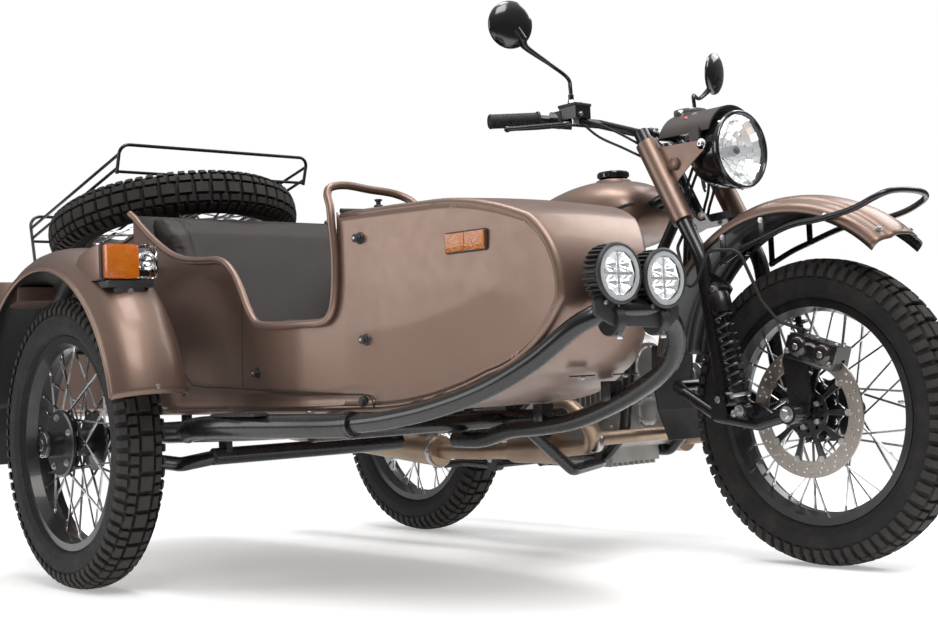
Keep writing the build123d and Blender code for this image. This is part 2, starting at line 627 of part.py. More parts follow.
# ---------------------------------------------------------------- engine and gearbox
ENGINE_X0 = 655.0
ENGINE_X1 = 945.0
CRANK_Z = 395.0
CYL_X = 830.0
CASE_HALF_W = 105.0
with BuildPart() as engine_block:
    with BuildSketch(side(CASE_HALF_W)):
        with BuildLine():
            Polyline((ENGINE_X0, ENGINE_Z), (ENGINE_X1 - 20, ENGINE_Z), (ENGINE_X1, 300), (ENGINE_X1, 470))
            ThreePointArc((ENGINE_X1, 470), (ENGINE_X1 - 60, 548), (ENGINE_X1 - 150, 560))
            Polyline((ENGINE_X1 - 150, 560), (ENGINE_X0, 540), (ENGINE_X0, ENGINE_Z))
        make_face()
    extrude(amount=2 * CASE_HALF_W)
    fillet(engine_block.edges().filter_by(Axis.Y), 16)
    # clutch bell and gearbox
    with BuildSketch(across(ENGINE_X0)):
        with Locations((0, 390)):
            Circle(135)
            with Locations((0, 160)):
                Rectangle(300, 90, mode=Mode.SUBTRACT)
    extrude(amount=-70, taper=12)
    with BuildSketch(side(92)):
        with BuildLine():
            Polyline((ENGINE_X0 - 40, 275), (440, 285), (424, 340), (424, 430), (470, 480),
                (ENGINE_X0 - 40, 500), close=True)
        make_face()
    extrude(amount=184)
    # sump pan with cooling ribs
    box((ENGINE_X0 + 10, -88, 226), (ENGINE_X1 - 40, 88, 266))
    for i in range(9):
        y = -80 + i * 20
        box((ENGINE_X0 + 20, y - 3, 216), (ENGINE_X1 - 50, y + 3, 228))
    # round generator cover at the front
    rod((ENGINE_X1 - 5, 0, CRANK_Z + 75), (ENGINE_X1 + 26, 0, CRANK_Z + 75), 62)
    rod((ENGINE_X1 - 5, 0, CRANK_Z - 40), (ENGINE_X1 + 14, 0, CRANK_Z - 40), 46)

FIN_COUNT = 8
FIN_T = 5.0
FIN_PITCH = 18.0
HEAD_END_Y = 392.0
with BuildPart() as cylinders:
    for s in (-1, 1):
        rod((CYL_X, s * (CASE_HALF_W + BEAD_GAP), CRANK_Z), (CYL_X, s * 262, CRANK_Z), 56)
        with BuildSketch(side(s * 255)):
            with Locations((CYL_X, CRANK_Z)):
                RectangleRounded(138, 142, 22)
        extrude(amount=-s * 92)
        for i in range(FIN_COUNT):
            with BuildSketch(side(s * (118 + i * FIN_PITCH))):
                with Locations((CYL_X, CRANK_Z)):
                    RectangleRounded(152, 150, 30)
            extrude(amount=-s * FIN_T)
        for i in range(4):
            with BuildSketch(side(s * (262 + i * FIN_PITCH))):
                with Locations((CYL_X, CRANK_Z)):
                    RectangleRounded(172, 160, 30)
            extrude(amount=-s * FIN_T)
        # rocker cover
        with BuildSketch(side(s * 345)):
            with Locations((CYL_X, CRANK_Z)):
                RectangleRounded(150, 128, 34)
        extrude(amount=-s * (HEAD_END_Y - 345), taper=10)

with BuildPart() as intakes:
    for s in (-1, 1):
        tube([(CYL_X - 86.3, s * 296, CRANK_Z + 24), (CYL_X - 130, s * 292, CRANK_Z + 34),
            (600, s * 230, 500), (560, s * 88, 560)], 24, 45)
        rod((CYL_X - 124, s * 292, CRANK_Z + 33), (CYL_X - 176, s * 272, CRANK_Z + 56), 34)
    add(cylinders.part, mode=Mode.SUBTRACT)
    # air box between the frame tubes
    box((470, -96, 520), (640, 96, 640))

PIPE_R = 21.0
TAIL_R = 16.0             # tail pipes, standing straight out of the silencers
TAIL_L = 32.0
with BuildPart() as exhaust:
    for s in (-1, 1):
        tube(
            [(CYL_X + 86.3, s * 300, CRANK_Z - 10), (CYL_X + 150, s * 300, CRANK_Z - 14),
             (1040, s * 285, 330),
             (1000, s * 250, 284), (900, s * 238, 276), (560, s * 236, 262), (380, s * 242, 262)],
            PIPE_R, 34,
        )
        with BuildSketch(Plane(origin=at(870, s * 237, 275), z_dir=(-1, 0, -0.03))):
            Circle(40)
        extrude(amount=170, taper=2)
        tube([(400, s * 241, 262), (330, s * 246, 268), (-340, s * 250, 330)], 42, 40)
        rod(
            (-340, s * 250, 330),
            (-340 - 0.99573 * TAIL_L, s * (250 + 0.00594 * TAIL_L), 330 + 0.09214 * TAIL_L), TAIL_R,
        )
    rod((1017, -262, 300), (1017, 262, 300), 17)
    add(cylinders.part, mode=Mode.SUBTRACT)

# ---------------------------------------------------------------- rear end
FINAL_Y = -98.0
with BuildPart() as final_drive:
    with BuildSketch(Plane(origin=at(0, 0, TYRE_R), x_dir=(0, 1, 0), z_dir=(1, 0, 0))):
        with BuildLine():
            Polyline(
                (FINAL_Y + 38, AXLE_R + AXLE_GAP), (FINAL_Y + 38, 92), (FINAL_Y + 10, 98), (FINAL_Y - 18, 84),
                (FINAL_Y - 34, 40), (FINAL_Y - 34, AXLE_R + AXLE_GAP), close=True,
            )
        make_face()
    revolve(axis=Axis(at(0, 0, TYRE_R), (0, 1, 0)))
    rod((60, FINAL_Y, TYRE_R), (150, FINAL_Y, TYRE_R - 2), 34)
    rod((140, FINAL_Y, TYRE_R - 2), (421, FINAL_Y + 4, TYRE_R), 22)

with BuildPart() as swingarm:
    rod((0, FINAL_Y - 33, TYRE_R), (0, 118, TYRE_R), AXLE_R)
    tube([(30, 100, TYRE_R), (200, 100, TYRE_R), (340, 82, 312), (SWING_X, 82, SWING_Z)], 17, 60)
    rod((SWING_X, 60, SWING_Z), (SWING_X, 100, SWING_Z), SWING_R + 10)
    rod((SWING_X, 40, SWING_Z), (SWING_X, 120, SWING_Z), SWING_R + BEAD_GAP, mode=Mode.SUBTRACT)
    rod((0, 74, TYRE_R), (0, 120, TYRE_R), 27)
    rod((0, 100, TYRE_R), (60, 100, TYRE_R), 21)

REAR_SHOCK_Y = 152.0
with BuildPart() as rear_shocks:
    # side, y where the foot's bolt ends
    for s, foot_seat in ((-1, FINAL_Y - 34 - BEAD_GAP), (1, 120 + BEAD_GAP)):
        coil_shock(
            (-4, s * REAR_SHOCK_Y, 372), (56, s * REAR_SHOCK_Y, 700),
            s * (REAR_SHOCK_Y + 13), foot_seat, s * (104 + FRAME_R + BEAD_GAP),
        )

RG_R = 376.0
with BuildPart() as rear_mudguard:
    with BuildSketch(Plane(origin=at(0, 0, TYRE_R), x_dir=(0, 1, 0), z_dir=(math.sin(math.radians(38)), 0,
        -math.cos(math.radians(38))))):
        with BuildLine():
            Polyline(
                (-86, RG_R - 40), (-86, RG_R - 28), (-42, RG_R - 4), (42, RG_R - 4), (86, RG_R - 28),
                (86, RG_R - 40),
                (86 - SHEET, RG_R - 40), (86 - SHEET, RG_R - 30), (40, RG_R - 7), (-40, RG_R - 7),
                (-86 + SHEET, RG_R - 30), (-86 + SHEET, RG_R - 40), close=True,
            )
        make_face()
    revolve(axis=Axis(at(0, 0, TYRE_R), (0, -1, 0)), revolution_arc=130)
    # tabs beside the saddle rails
    for x in (-150, 110):
        for s in (-1, 1):
            box((x - 12, s * 83.5 - 3.5, 640), (x + 12, s * 83.5 + 3.5, SADDLE_RAIL_Z + 4))

# ---------------------------------------------------------------- tank, saddle and covers
TANK_HALF_W = 152.0
TUNNEL_HALF_W = 84.0
with BuildPart() as tank:
    with BuildSketch(side(TANK_HALF_W)):
        with BuildLine():
            Polyline((560, TANK_Z), (566, 840))
            ThreePointArc((566, 840), (640, 915), (760, 955))
            ThreePointArc((760, 955), (880, 963), (985, 942))
            ThreePointArc((985, 942), (1026, 912), (1024, 860))
            Polyline((1024, 860), (985, 775), (560, TANK_Z))
        make_face()
    extrude(amount=2 * TANK_HALF_W)
    with BuildSketch(across(540)):
        with BuildLine():
            Polyline((-TANK_HALF_W + 14, 760), (-TANK_HALF_W, 800), (-TANK_HALF_W, 856))
            ThreePointArc((-TANK_HALF_W, 856), (-TANK_HALF_W + 44, 935), (0, 964))
            ThreePointArc((0, 964), (TANK_HALF_W - 44, 935), (TANK_HALF_W, 856))
            Polyline((TANK_HALF_W, 856), (TANK_HALF_W, 800), (TANK_HALF_W - 14, 760),
                (-TANK_HALF_W + 14, 760))
        make_face()
    extrude(amount=500, mode=Mode.INTERSECT)
    with BuildSketch(level(750)):
        with BuildLine():
            Polyline((556, -92), (640, -134))
            ThreePointArc((640, -134), (800, -TANK_HALF_W), (930, -128))
            Polyline((930, -128), (1030, -74), (1030, 74), (930, 128))
            ThreePointArc((930, 128), (800, TANK_HALF_W), (640, 134))
            Polyline((640, 134), (556, 92), (556, -92))
        make_face()
    extrude(amount=230, mode=Mode.INTERSECT)
    # tunnel over the top tubes
    with BuildSketch(side(TUNNEL_HALF_W)):
        with BuildLine():
            Polyline((540, 740), (540, 790), (780, 838), (985, 896), (1040, 912), (1040, 740), close=True)
        make_face()
    extrude(amount=2 * TUNNEL_HALF_W, mode=Mode.SUBTRACT)
    # saddles inside the tunnel that rest on the top tubes
    for s in (-1, 1):
        box((880, s * 27 - 10, 836), (920, s * 27 + 10, 880))
        rod(fork_point(-14, s * 12, 110), (800, s * 34, 806), FRAME_R + BEAD_GAP, mode=Mode.SUBTRACT)
    rod((873, 0, 950), (873, 0, 984), 38)

SADDLE_Z = SADDLE_RAIL_Z + FRAME_R + BEAD_GAP
with BuildPart() as saddle:
    with BuildSketch(side(132)):
        with BuildLine():
            Polyline((-230, SADDLE_Z), (550, SADDLE_Z), (556, 790), (520, 806), (250, 792), (200, 822),
                (-190, 832), (-236, 800), close=True)
        make_face()
    extrude(amount=264)
    with BuildSketch(level(SADDLE_Z - 5)):
        with BuildLine():
            Polyline((-240, -118), (100, -130), (330, -130), (560, -70), (560, 70), (330, 130), (100, 130),
                (-240, 118), close=True)
        make_face()
    extrude(amount=110, mode=Mode.INTERSECT)

with BuildPart() as side_covers:
    for s in (-1, 1):
        with BuildSketch(side(s * (100 + FRAME_R + BEAD_GAP))):
            with BuildLine():
                Polyline((414, 596), (412, 694), (480, 726), (600, 726), (650, 690), (650, 630),
                    (590, 600), close=True)
            make_face()
        extrude(amount=-s * 26)
        rod((500, s * 109.8, 718), (500, s * 120, 718), 5)

PEG_X = 600.0
PEG_Z = 312.0
PEG_IN_Y = RAIL_Y + FRAME_R + BEAD_GAP
with BuildPart() as foot_controls:
    for s in (-1, 1):
        rod((PEG_X, s * PEG_IN_Y, PEG_Z), (PEG_X, s * 190, PEG_Z), 9)
        rod((PEG_X, s * 186, PEG_Z), (PEG_X, s * 285, PEG_Z), 16)
        box((PEG_X - 16, s * (PEG_IN_Y + 3) - 3, RAIL_Z - 12), (PEG_X + 16, s * (PEG_IN_Y + 3) + 3,
            PEG_Z + 14))
        # brake pedal on the right, gear pedal on the left
        tube([(PEG_X + 10, s * 170, PEG_Z - 6), (PEG_X + 80, s * 176, PEG_Z + 4),
            (PEG_X + 134, s * 178, PEG_Z + 14)], 7, 40)
        rod((PEG_X + 133, s * 168, PEG_Z + 14), (PEG_X + 133, s * 222, PEG_Z + 14), 9)

# ---------------------------------------------------------------- centre stand, folded back under the frame
with BuildPart() as centre_stand:
    for s in (-1, 1):
        tube([(STAND_X, s * 88, STAND_Z), (STAND_X - 140, s * 94, STAND_Z + 6),
            (STAND_X - 196, s * 122, STAND_Z + 2)], 11, 30)
        rod((STAND_X, s * 76, STAND_Z), (STAND_X, s * 100, STAND_Z), 15)
        box((STAND_X - 216, s * 128 - 20, STAND_Z - 6), (STAND_X - 182, s * 128 + 20, STAND_Z + 6))
    rod((STAND_X - 60, -88, STAND_Z + 2), (STAND_X - 60, 88, STAND_Z + 2), 10)
    rod((STAND_X, -101, STAND_Z), (STAND_X, 101, STAND_Z), STAND_PIN_R + RUN_GAP, mode=Mode.SUBTRACT)

# ================================================================ sidecar
# ---------------------------------------------------------------- body: sheet tub with a rounded nose
def nose_outline(d):
    """Side outline of tub and nose, drawn d inside the outer skin, as the lines of a closed profile."""
    f = BODY_FRONT
    Line((COWL_REAR_X, COWL_Z - d), (f - 335, 818 - d))
    ThreePointArc((f - 335, 818 - d), (f - 177 - d * 0.2, 799 - d), (f - 72 - d * 0.6, 764 - d * 0.8))
    ThreePointArc((f - 72 - d * 0.6, 764 - d * 0.8), (f - 11 - d * 0.9, 690 - d * 0.4), (f - d, 600))
    ThreePointArc((f - d, 600), (f - 57 - d * 0.6, 524 + d * 0.8), (f - 181, 462 + d))
    ThreePointArc((f - 181, 462 + d), (f - 335, 418 + d), (f - 494, BODY_FLOOR + d))


# cockpit edge, rear to front on the left: x, z
EDGE_LEFT = [(150, 919), (240, 853), (420, 806), (TAPER_X, 820), (COWL_REAR_X, COWL_Z)]
# cockpit edge on the right, with the low entry: x, z
EDGE_RIGHT = [
    (150, 919), (232, 853), (405, 785), (515, 779), (612, 742), (690, 614), (752, 601),
    (TAPER_X, 597), (985, 594),
    (1036, 625), (COWL_REAR_X, COWL_Z),
]
BULKHEAD_X = 150.0

slope_s = math.sin(math.radians(HATCH_SLOPE))
slope_c = math.cos(math.radians(HATCH_SLOPE))


def hatch_z(x):
    """Height of the body's upper edge under the luggage lid."""
    return HATCH_Z - (HATCH_X - x) * slope_s / slope_c


SPARE_X = -166.0
SPARE_Y = -735.0
SPARE_H = 133.0           # wheel's middle above the body's hatch edge, square to it


def deck(h=0.0):
    """Plane along the luggage hatch, h above the body's edge: local x is forward, local y is left."""
    foot_x = SPARE_X + (SPARE_H - h) * slope_s
    foot_z = hatch_z(SPARE_X) + SPARE_H / slope_c - (SPARE_H - h) * slope_c
    return Plane(origin=at(foot_x, 0, foot_z), x_dir=(slope_c, 0, slope_s), z_dir=(-slope_s, 0, slope_c))


def deck_point(forward, y, h):
    """Design point from distances along the hatch, y left of the centre-plane, and h above the body's edge."""
    p = deck(h).origin + Vector(slope_c, 0, slope_s) * forward
    return (p.X + MID_X, y, p.Z)


LID_HALF_W = BODY_HALF_W - 2
LID_FRONT = 280.0         # from the spare's middle, along the hatch
LID_REAR = -408.0
HINGE_H = 12.0
HINGE_X = LID_REAR - 16
HINGE_Y = 180.0           # each hinge from the body's centre-plane
KNUCKLE_HALF = 30.0
HINGE_PIN_R = 4.0
BODY_RIGHT = BODY_Y - BODY_HALF_W
with BuildPart() as body_solid:
    with BuildSketch(side(BODY_Y + BODY_HALF_W)):
        with BuildLine():
            nose_outline(0)
            Polyline((BODY_FRONT - 494, BODY_FLOOR), (-330, BODY_FLOOR))
            ThreePointArc((-330, BODY_FLOOR), (-478, 458), (BODY_REAR, 600))
            Polyline(
                (BODY_REAR, 600), (BODY_REAR, hatch_z(BODY_REAR)), (BULKHEAD_X - 8, hatch_z(BULKHEAD_X - 8)),
                (BULKHEAD_X - 8, 919), *EDGE_LEFT,
            )
        make_face()
    extrude(amount=2 * BODY_HALF_W)
    # sides draw in towards the nose
    with BuildSketch(level(300)):
        with BuildLine():
            Polyline(
                (BODY_REAR - 10, BODY_Y - BODY_HALF_W), (TAPER_X, BODY_Y - BODY_HALF_W),
                (BODY_FRONT + 10, BODY_Y - NOSE_HALF_W), (BODY_FRONT + 10, BODY_Y + NOSE_HALF_W),
                (TAPER_X, BODY_Y + BODY_HALF_W), (BODY_REAR - 10, BODY_Y + BODY_HALF_W), close=True,
            )
        make_face()
    extrude(amount=700, mode=Mode.INTERSECT)



def inner_plan(gap):
    """Plan of what lies between the side sheets, drawn a gap short of each."""
    half = BODY_HALF_W - BODY_WALL - gap
    nose = NOSE_HALF_W - BODY_WALL - gap
    Polyline(
        (BODY_REAR - 10, BODY_Y - half), (TAPER_X, BODY_Y - half), (BODY_FRONT + 10, BODY_Y - nose),
        (BODY_FRONT + 10, BODY_Y + nose), (TAPER_X, BODY_Y + half), (BODY_REAR - 10, BODY_Y + half),
        close=True,
    )


with BuildPart() as body_hollow:
    with BuildSketch(side(BODY_Y + BODY_HALF_W - BODY_WALL)):
        with BuildLine():
            nose_outline(BODY_WALL)
            Polyline(
                (BODY_FRONT - 494, BODY_FLOOR + BODY_WALL),
                (BULKHEAD_X, BODY_FLOOR + BODY_WALL), (BULKHEAD_X, 1000), (COWL_REAR_X, 1000),
                (COWL_REAR_X, COWL_Z - BODY_WALL),
            )
        make_face()
    extrude(amount=2 * (BODY_HALF_W - BODY_WALL))
    with BuildSketch(side(BODY_Y + BODY_HALF_W - BODY_WALL)):
        with BuildLine():
            Polyline((BULKHEAD_X - 8, BODY_FLOOR + BODY_WALL), (-330, BODY_FLOOR + BODY_WALL))
            ThreePointArc((-330, BODY_FLOOR + BODY_WALL), (-474, 462), (BODY_REAR + BODY_WALL, 600))
            Polyline((BODY_REAR + BODY_WALL, 600), (BODY_REAR + BODY_WALL, 1000), (BULKHEAD_X - 8, 1000),
                (BULKHEAD_X - 8, BODY_FLOOR + BODY_WALL))
        make_face()
    extrude(amount=2 * (BODY_HALF_W - BODY_WALL))
    with BuildSketch(level(300)):
        with BuildLine():
            inner_plan(0)
        make_face()
    extrude(amount=800, mode=Mode.INTERSECT)

with BuildPart() as entry_cut:
    with BuildSketch(side(BODY_Y - 100)):
        with BuildLine():
            Polyline(*EDGE_RIGHT, (COWL_REAR_X, 1000), (150, 1000), close=True)
        make_face()
    extrude(amount=400)

with BuildPart() as body_shell:
    add(body_solid.part)
    add(body_hollow.part, mode=Mode.SUBTRACT)
    add(entry_cut.part, mode=Mode.SUBTRACT)
    # seam round the body where the nose section begins
    box((TAPER_X - BEAD_GAP, BODY_RIGHT - 1, 300), (TAPER_X, BODY_Y + BODY_HALF_W + 1, 1000),
        mode=Mode.SUBTRACT)

# left and right side sheets, each in a rear and a nose section
with BuildPart() as sidecar_sides:
    add(body_shell.part)
    with BuildSketch(level(300)):
        with BuildLine():
            inner_plan(0)
        make_face()
    extrude(amount=800, mode=Mode.SUBTRACT)

# all that lies between the side sheets
with BuildPart() as body_between:
    add(body_shell.part)
    with BuildSketch(level(300)):
        with BuildLine():
            inner_plan(BEAD_GAP)
        make_face()
    extrude(amount=800, mode=Mode.INTERSECT)

# cowl, rounded nose and the slope under it, in one wrapped sheet
with BuildPart() as sidecar_nose:
    add(body_between.part)
    box((BODY_REAR - 1, BODY_RIGHT - 1, 300), (TAPER_X - BEAD_GAP / 2, BODY_Y + BODY_HALF_W + 1, 1000),
        mode=Mode.SUBTRACT)

# floor, bulkhead behind the seat and rear wall
with BuildPart() as sidecar_body:
    add(body_between.part)
    box((TAPER_X - BEAD_GAP / 2, BODY_RIGHT - 1, 300), (BODY_FRONT + 30, BODY_Y + BODY_HALF_W + 1, 1000),
        mode=Mode.SUBTRACT)
    # lugs and pins of the luggage lid's two hinges
    hinge = deck_point(HINGE_X, 0, HINGE_H)
    for y in (BODY_Y - HINGE_Y, BODY_Y + HINGE_Y):
        for lug_y in (y - KNUCKLE_HALF - 8.5, y + KNUCKLE_HALF + 1.5):
            box((hinge[0] - 8, lug_y, 688), (hinge[0] + 8, lug_y + 7, hinge[2]))
            rod((hinge[0], lug_y, hinge[2]), (hinge[0], lug_y + 7, hinge[2]), 8)
        rod((hinge[0], y - KNUCKLE_HALF - 6, hinge[2]), (hinge[0], y + KNUCKLE_HALF + 6, hinge[2]),
            HINGE_PIN_R)

# tube along the cockpit's edge, and the grab bar over the cowl
TAPER = (BODY_HALF_W - NOSE_HALF_W) / (BODY_FRONT + 10 - TAPER_X)


def trim_point(x, z, s):
    """Point on the trim tube's line beside the body: s is +1 on the left and -1 on the right."""
    half = BODY_HALF_W - TAPER * max(0.0, x - TAPER_X)
    return (x, BODY_Y + s * (half + TRIM_R + 0.6), z)


with BuildPart() as cockpit_trim:
    tube(
        [trim_point(146, 921, -1)] + [trim_point(x, z, -1) for x, z in EDGE_RIGHT[1:-1]]
        + [trim_point(COWL_REAR_X + 2, 850, -1), (1004, -1004, 884), (1004, -850, 878), (1052, -800, 836)],
        TRIM_R, 26,
    )
    tube(
        [trim_point(146, 921, 1)] + [trim_point(x, z, 1) for x, z in EDGE_LEFT[1:-1]]
        + [trim_point(COWL_REAR_X, COWL_Z + 1, 1)],
        TRIM_R, 26,
    )

with BuildPart() as sidecar_seat:
    with BuildSketch(side(BODY_Y + 268)):
        with BuildLine():
            Polyline((360, BODY_FLOOR + BODY_WALL + BEAD_GAP), (800, BODY_FLOOR + BODY_WALL + BEAD_GAP),
                (806, 590), (780, 612), (380, 600), close=True)
        make_face()
    extrude(amount=536)
    with BuildSketch(side(BODY_Y + 276)):
        with BuildLine():
            Polyline((BULKHEAD_X + BEAD_GAP, 890), (358, 470), (358, 600), (286, 850), (226, 916),
                (176, 924), close=True)
        make_face()
    extrude(amount=552)

# ---------------------------------------------------------------- luggage lid with the spare wheel and rack
with BuildPart() as luggage_lid:
    with BuildSketch(deck(LID_GAP)):
        with Locations(((LID_FRONT + LID_REAR) / 2, BODY_Y)):
            Rectangle(LID_FRONT - LID_REAR, 2 * LID_HALF_W)
    extrude(amount=LID_T)
    with BuildSketch(deck(LID_GAP + LID_T)):
        with Locations(((LID_FRONT + LID_REAR) / 2, BODY_Y)):
            Rectangle(LID_FRONT - LID_REAR - 90, 2 * LID_HALF_W - 90)
    extrude(amount=10, taper=40)
    # pillar and stud that carry the spare
    rod(deck_point(0, SPARE_Y, LID_GAP + LID_T), deck_point(0, SPARE_Y, SPARE_H - HUB_HALF_W - BEAD_GAP), 42)
    rod(deck_point(0, SPARE_Y, LID_GAP + LID_T), deck_point(0, SPARE_Y, SPARE_H + HUB_HALF_W + 34), AXLE_R)
    # hinge knuckles
    for y in (BODY_Y - HINGE_Y, BODY_Y + HINGE_Y):
        rod(deck_point(HINGE_X, y - KNUCKLE_HALF, HINGE_H), deck_point(HINGE_X, y + KNUCKLE_HALF, HINGE_H), 9)
        with BuildSketch(side(y + KNUCKLE_HALF)):
            with BuildLine():
                a = deck_point(HINGE_X, 0, HINGE_H - 5)
                b = deck_point(LID_REAR + 20, 0, LID_GAP)
                c = deck_point(LID_REAR + 20, 0, LID_GAP + LID_T + 3)
                d = deck_point(HINGE_X, 0, HINGE_H + 5)
                Polyline(*[(p[0], p[2]) for p in (a, b, c, d)], close=True)
            make_face()
        extrude(amount=2 * KNUCKLE_HALF)
        rod(deck_point(HINGE_X, y - 35, HINGE_H), deck_point(HINGE_X, y + 35, HINGE_H), HINGE_PIN_R + RUN_GAP,
            mode=Mode.SUBTRACT)

# the spare lies with its axle square to the lid
spare_place = Plane(
    origin=deck(SPARE_H).origin + Vector(0, SPARE_Y, 0), x_dir=(slope_c, 0, slope_s), z_dir=(0, -1, 0),
)
with BuildPart() as spare_wheel:
    with Locations(Location(spare_place)):
        add(wheel.part)

with BuildPart() as spare_tyre:
    with Locations(Location(spare_place)):
        add(tyre.part)

RACK_R = 4.5
BAR_THIN_R = 4.1
RACK_HALF_W = 290.0
RACK_FLOOR = SPARE_H + TYRE_HALF_W + 9
RACK_TOP_FRONT = RACK_FLOOR + 62
RACK_TOP_BACK = RACK_FLOOR + 78
RACK_FRONT = 239.0
RACK_BACK = -352.0
with BuildPart() as luggage_rack:
    y0 = BODY_Y - RACK_HALF_W
    y1 = BODY_Y + RACK_HALF_W
    # front hoop leans forward from the floor up to the top bar
    tube(
        [deck_point(RACK_FRONT - 3, y0, RACK_FLOOR - 5), deck_point(RACK_FRONT + 38, y0, RACK_TOP_FRONT),
         deck_point(RACK_FRONT + 38, y1, RACK_TOP_FRONT), deck_point(RACK_FRONT - 3, y1, RACK_FLOOR - 5)],
        RACK_R, 26,
    )
    # rear hoop stands on the lid
    tube(
        [deck_point(RACK_BACK, y0 + 6, LID_GAP + LID_T + BEAD_GAP), deck_point(RACK_BACK, y0 + 6,
         RACK_TOP_BACK),
         deck_point(RACK_BACK, y1 - 6, RACK_TOP_BACK), deck_point(RACK_BACK, y1 - 6,
             LID_GAP + LID_T + BEAD_GAP)],
        RACK_R, 34,
    )
    # bars across the floor, front and back
    rod(deck_point(RACK_FRONT, y0, RACK_FLOOR), deck_point(RACK_FRONT, y1, RACK_FLOOR), BAR_THIN_R)
    rod(deck_point(RACK_BACK, y0 + 6, RACK_FLOOR), deck_point(RACK_BACK, y1 - 6, RACK_FLOOR), BAR_THIN_R)
    # rails along both sides
    for y, inner in ((y0, 6), (y1, -6)):
        rod(deck_point(RACK_BACK, y + inner, RACK_FLOOR + 9), deck_point(RACK_FRONT + 2, y,
            RACK_FLOOR + 8), BAR_THIN_R)
        rod(deck_point(RACK_BACK, y + inner, RACK_TOP_BACK - 38), deck_point(RACK_FRONT + 25, y,
            RACK_FLOOR + 40),
            BAR_THIN_R)
    # floor: two bars running fore and aft, tied to the plate on the stud
    for y in (SPARE_Y - 60, SPARE_Y + 60):
        rod(deck_point(RACK_BACK, y, RACK_FLOOR), deck_point(RACK_FRONT, y, RACK_FLOOR), BAR_THIN_R - 0.3)
    with BuildSketch(deck(RACK_FLOOR - 3)):
        with Locations((0, SPARE_Y)):
            Rectangle(70, 150)
            Circle(AXLE_R + 1, mode=Mode.SUBTRACT)
    extrude(amount=6)

# ---------------------------------------------------------------- sidecar chassis
CH_RIGHT = -1040.0
CH_LEFT = -440.0
CH_Z = 360.0
OUTER_R = 23.0
CROSS_R = 20.0
TORSION_X = 540.0         # bar that the swingarm turns on
TORSION_Z = 306.0
# cross members: x on the right, y on the right, x on the left, radius
CROSS = [(330, -1080, 240, 18.5), (TORSION_X, -1070, TORSION_X, 17.7), (960, -1036, 930, 18.5)]
with BuildPart() as sidecar_chassis:
    # side member that bows out past the step, and the inner one beside the motorcycle
    tube([(322, -1093, 363), (440, -1089, 363), (760, CH_RIGHT - 14, 369), (1062, CH_RIGHT + 12, 378)],
        OUTER_R, 200)
    tube([(-180, CH_LEFT, CH_Z), (700, CH_LEFT, CH_Z), (1160, CH_LEFT - 60, CH_Z + 6)], CROSS_R, 120)
    for x_right, y_right, x_left, radius in CROSS:
        rod((x_right, y_right, CH_Z + 1), (x_left, CH_LEFT, CH_Z), radius)
    rod((-150, -960, CH_Z), (-150, CH_LEFT, CH_Z), 15)
    # diagonal from the rear cross member out to the side member
    rod((-150, -930, CH_Z), (334, -1072, CH_Z + 2), 15)
    # pads under the floor
    for x, y in ((930, CH_LEFT - 9), (200, CH_LEFT - 9), (955, -975), (310, -975), (-150, -900),
        (-150, -560)):
        rod((x, y, CH_Z), (x, y, BODY_FLOOR - BEAD_GAP), 13)
    # four struts to the motorcycle
    tube([(1000, CH_LEFT - 40, CH_Z - 8), (990, -310, 228), (945, -170, 236), (890, -RAIL_Y, RAIL_Z)], 14, 30)
    rod((250, CH_LEFT, CH_Z), (397, -REAR_Y + 3, 312), 13)
    rod((915, CH_LEFT, CH_Z), (1072, -55, 746), 13)
    rod((300, CH_LEFT, CH_Z), (345, -101, SADDLE_RAIL_Z), 13)
    # their ends are cupped round the frame's tubes
    cup_r = FRAME_R + BEAD_GAP
    rod((960, -RAIL_Y, RAIL_Z), (430, -RAIL_Y, RAIL_Z), cup_r, mode=Mode.SUBTRACT)
    rod((405, -RAIL_Y - 7, 292), (392, -REAR_Y, 330), cup_r + 1, mode=Mode.SUBTRACT)
    rod((392, -REAR_Y, 330), (380, -100, 690), cup_r, mode=Mode.SUBTRACT)
    rod(fork_point(-14, -18, 165), (1016, -100, 600), cup_r, mode=Mode.SUBTRACT)
    rod((420, -100, SADDLE_RAIL_Z), (-120, -103, SADDLE_RAIL_Z), cup_r, mode=Mode.SUBTRACT)
    add(frame.part, mode=Mode.SUBTRACT)

SHOCK_TOP = (200, -1062, 636)
with BuildPart() as sidecar_swingarm:
    rod((LEAD, -TRACK - HUB_HALF_W + 3, TYRE_R), (LEAD, -1110, TYRE_R), AXLE_R)
    tube(
        [(LEAD, -1142, TYRE_R - 6), (LEAD + 70, -1128, 306), (470, -1080, 290),
         (TORSION_X, -1016, TORSION_Z)],
        17, 40,
    )
    rod((LEAD, -1160, TYRE_R), (LEAD, -1116, TYRE_R), 32)
    rod((TORSION_X, -1034, TORSION_Z), (TORSION_X, -490, TORSION_Z), 20)
    # plates up to the cross member above
    for y in (-1000, -520):
        box((TORSION_X - 18, y - 8, TORSION_Z), (TORSION_X + 18, y + 8, CH_Z - 18))
    # coil and damper up to a bolt in the tub's side
    rod((LEAD + 26, -1100, 346), SHOCK_TOP, 9)
    rod((LEAD + 23, -1097, 366), (LEAD - 25, -1078, 530), 24)
    rod((SHOCK_TOP[0], SHOCK_TOP[1] - 16, SHOCK_TOP[2]), (SHOCK_TOP[0], BODY_RIGHT - BEAD_GAP,
        SHOCK_TOP[2]), 13)

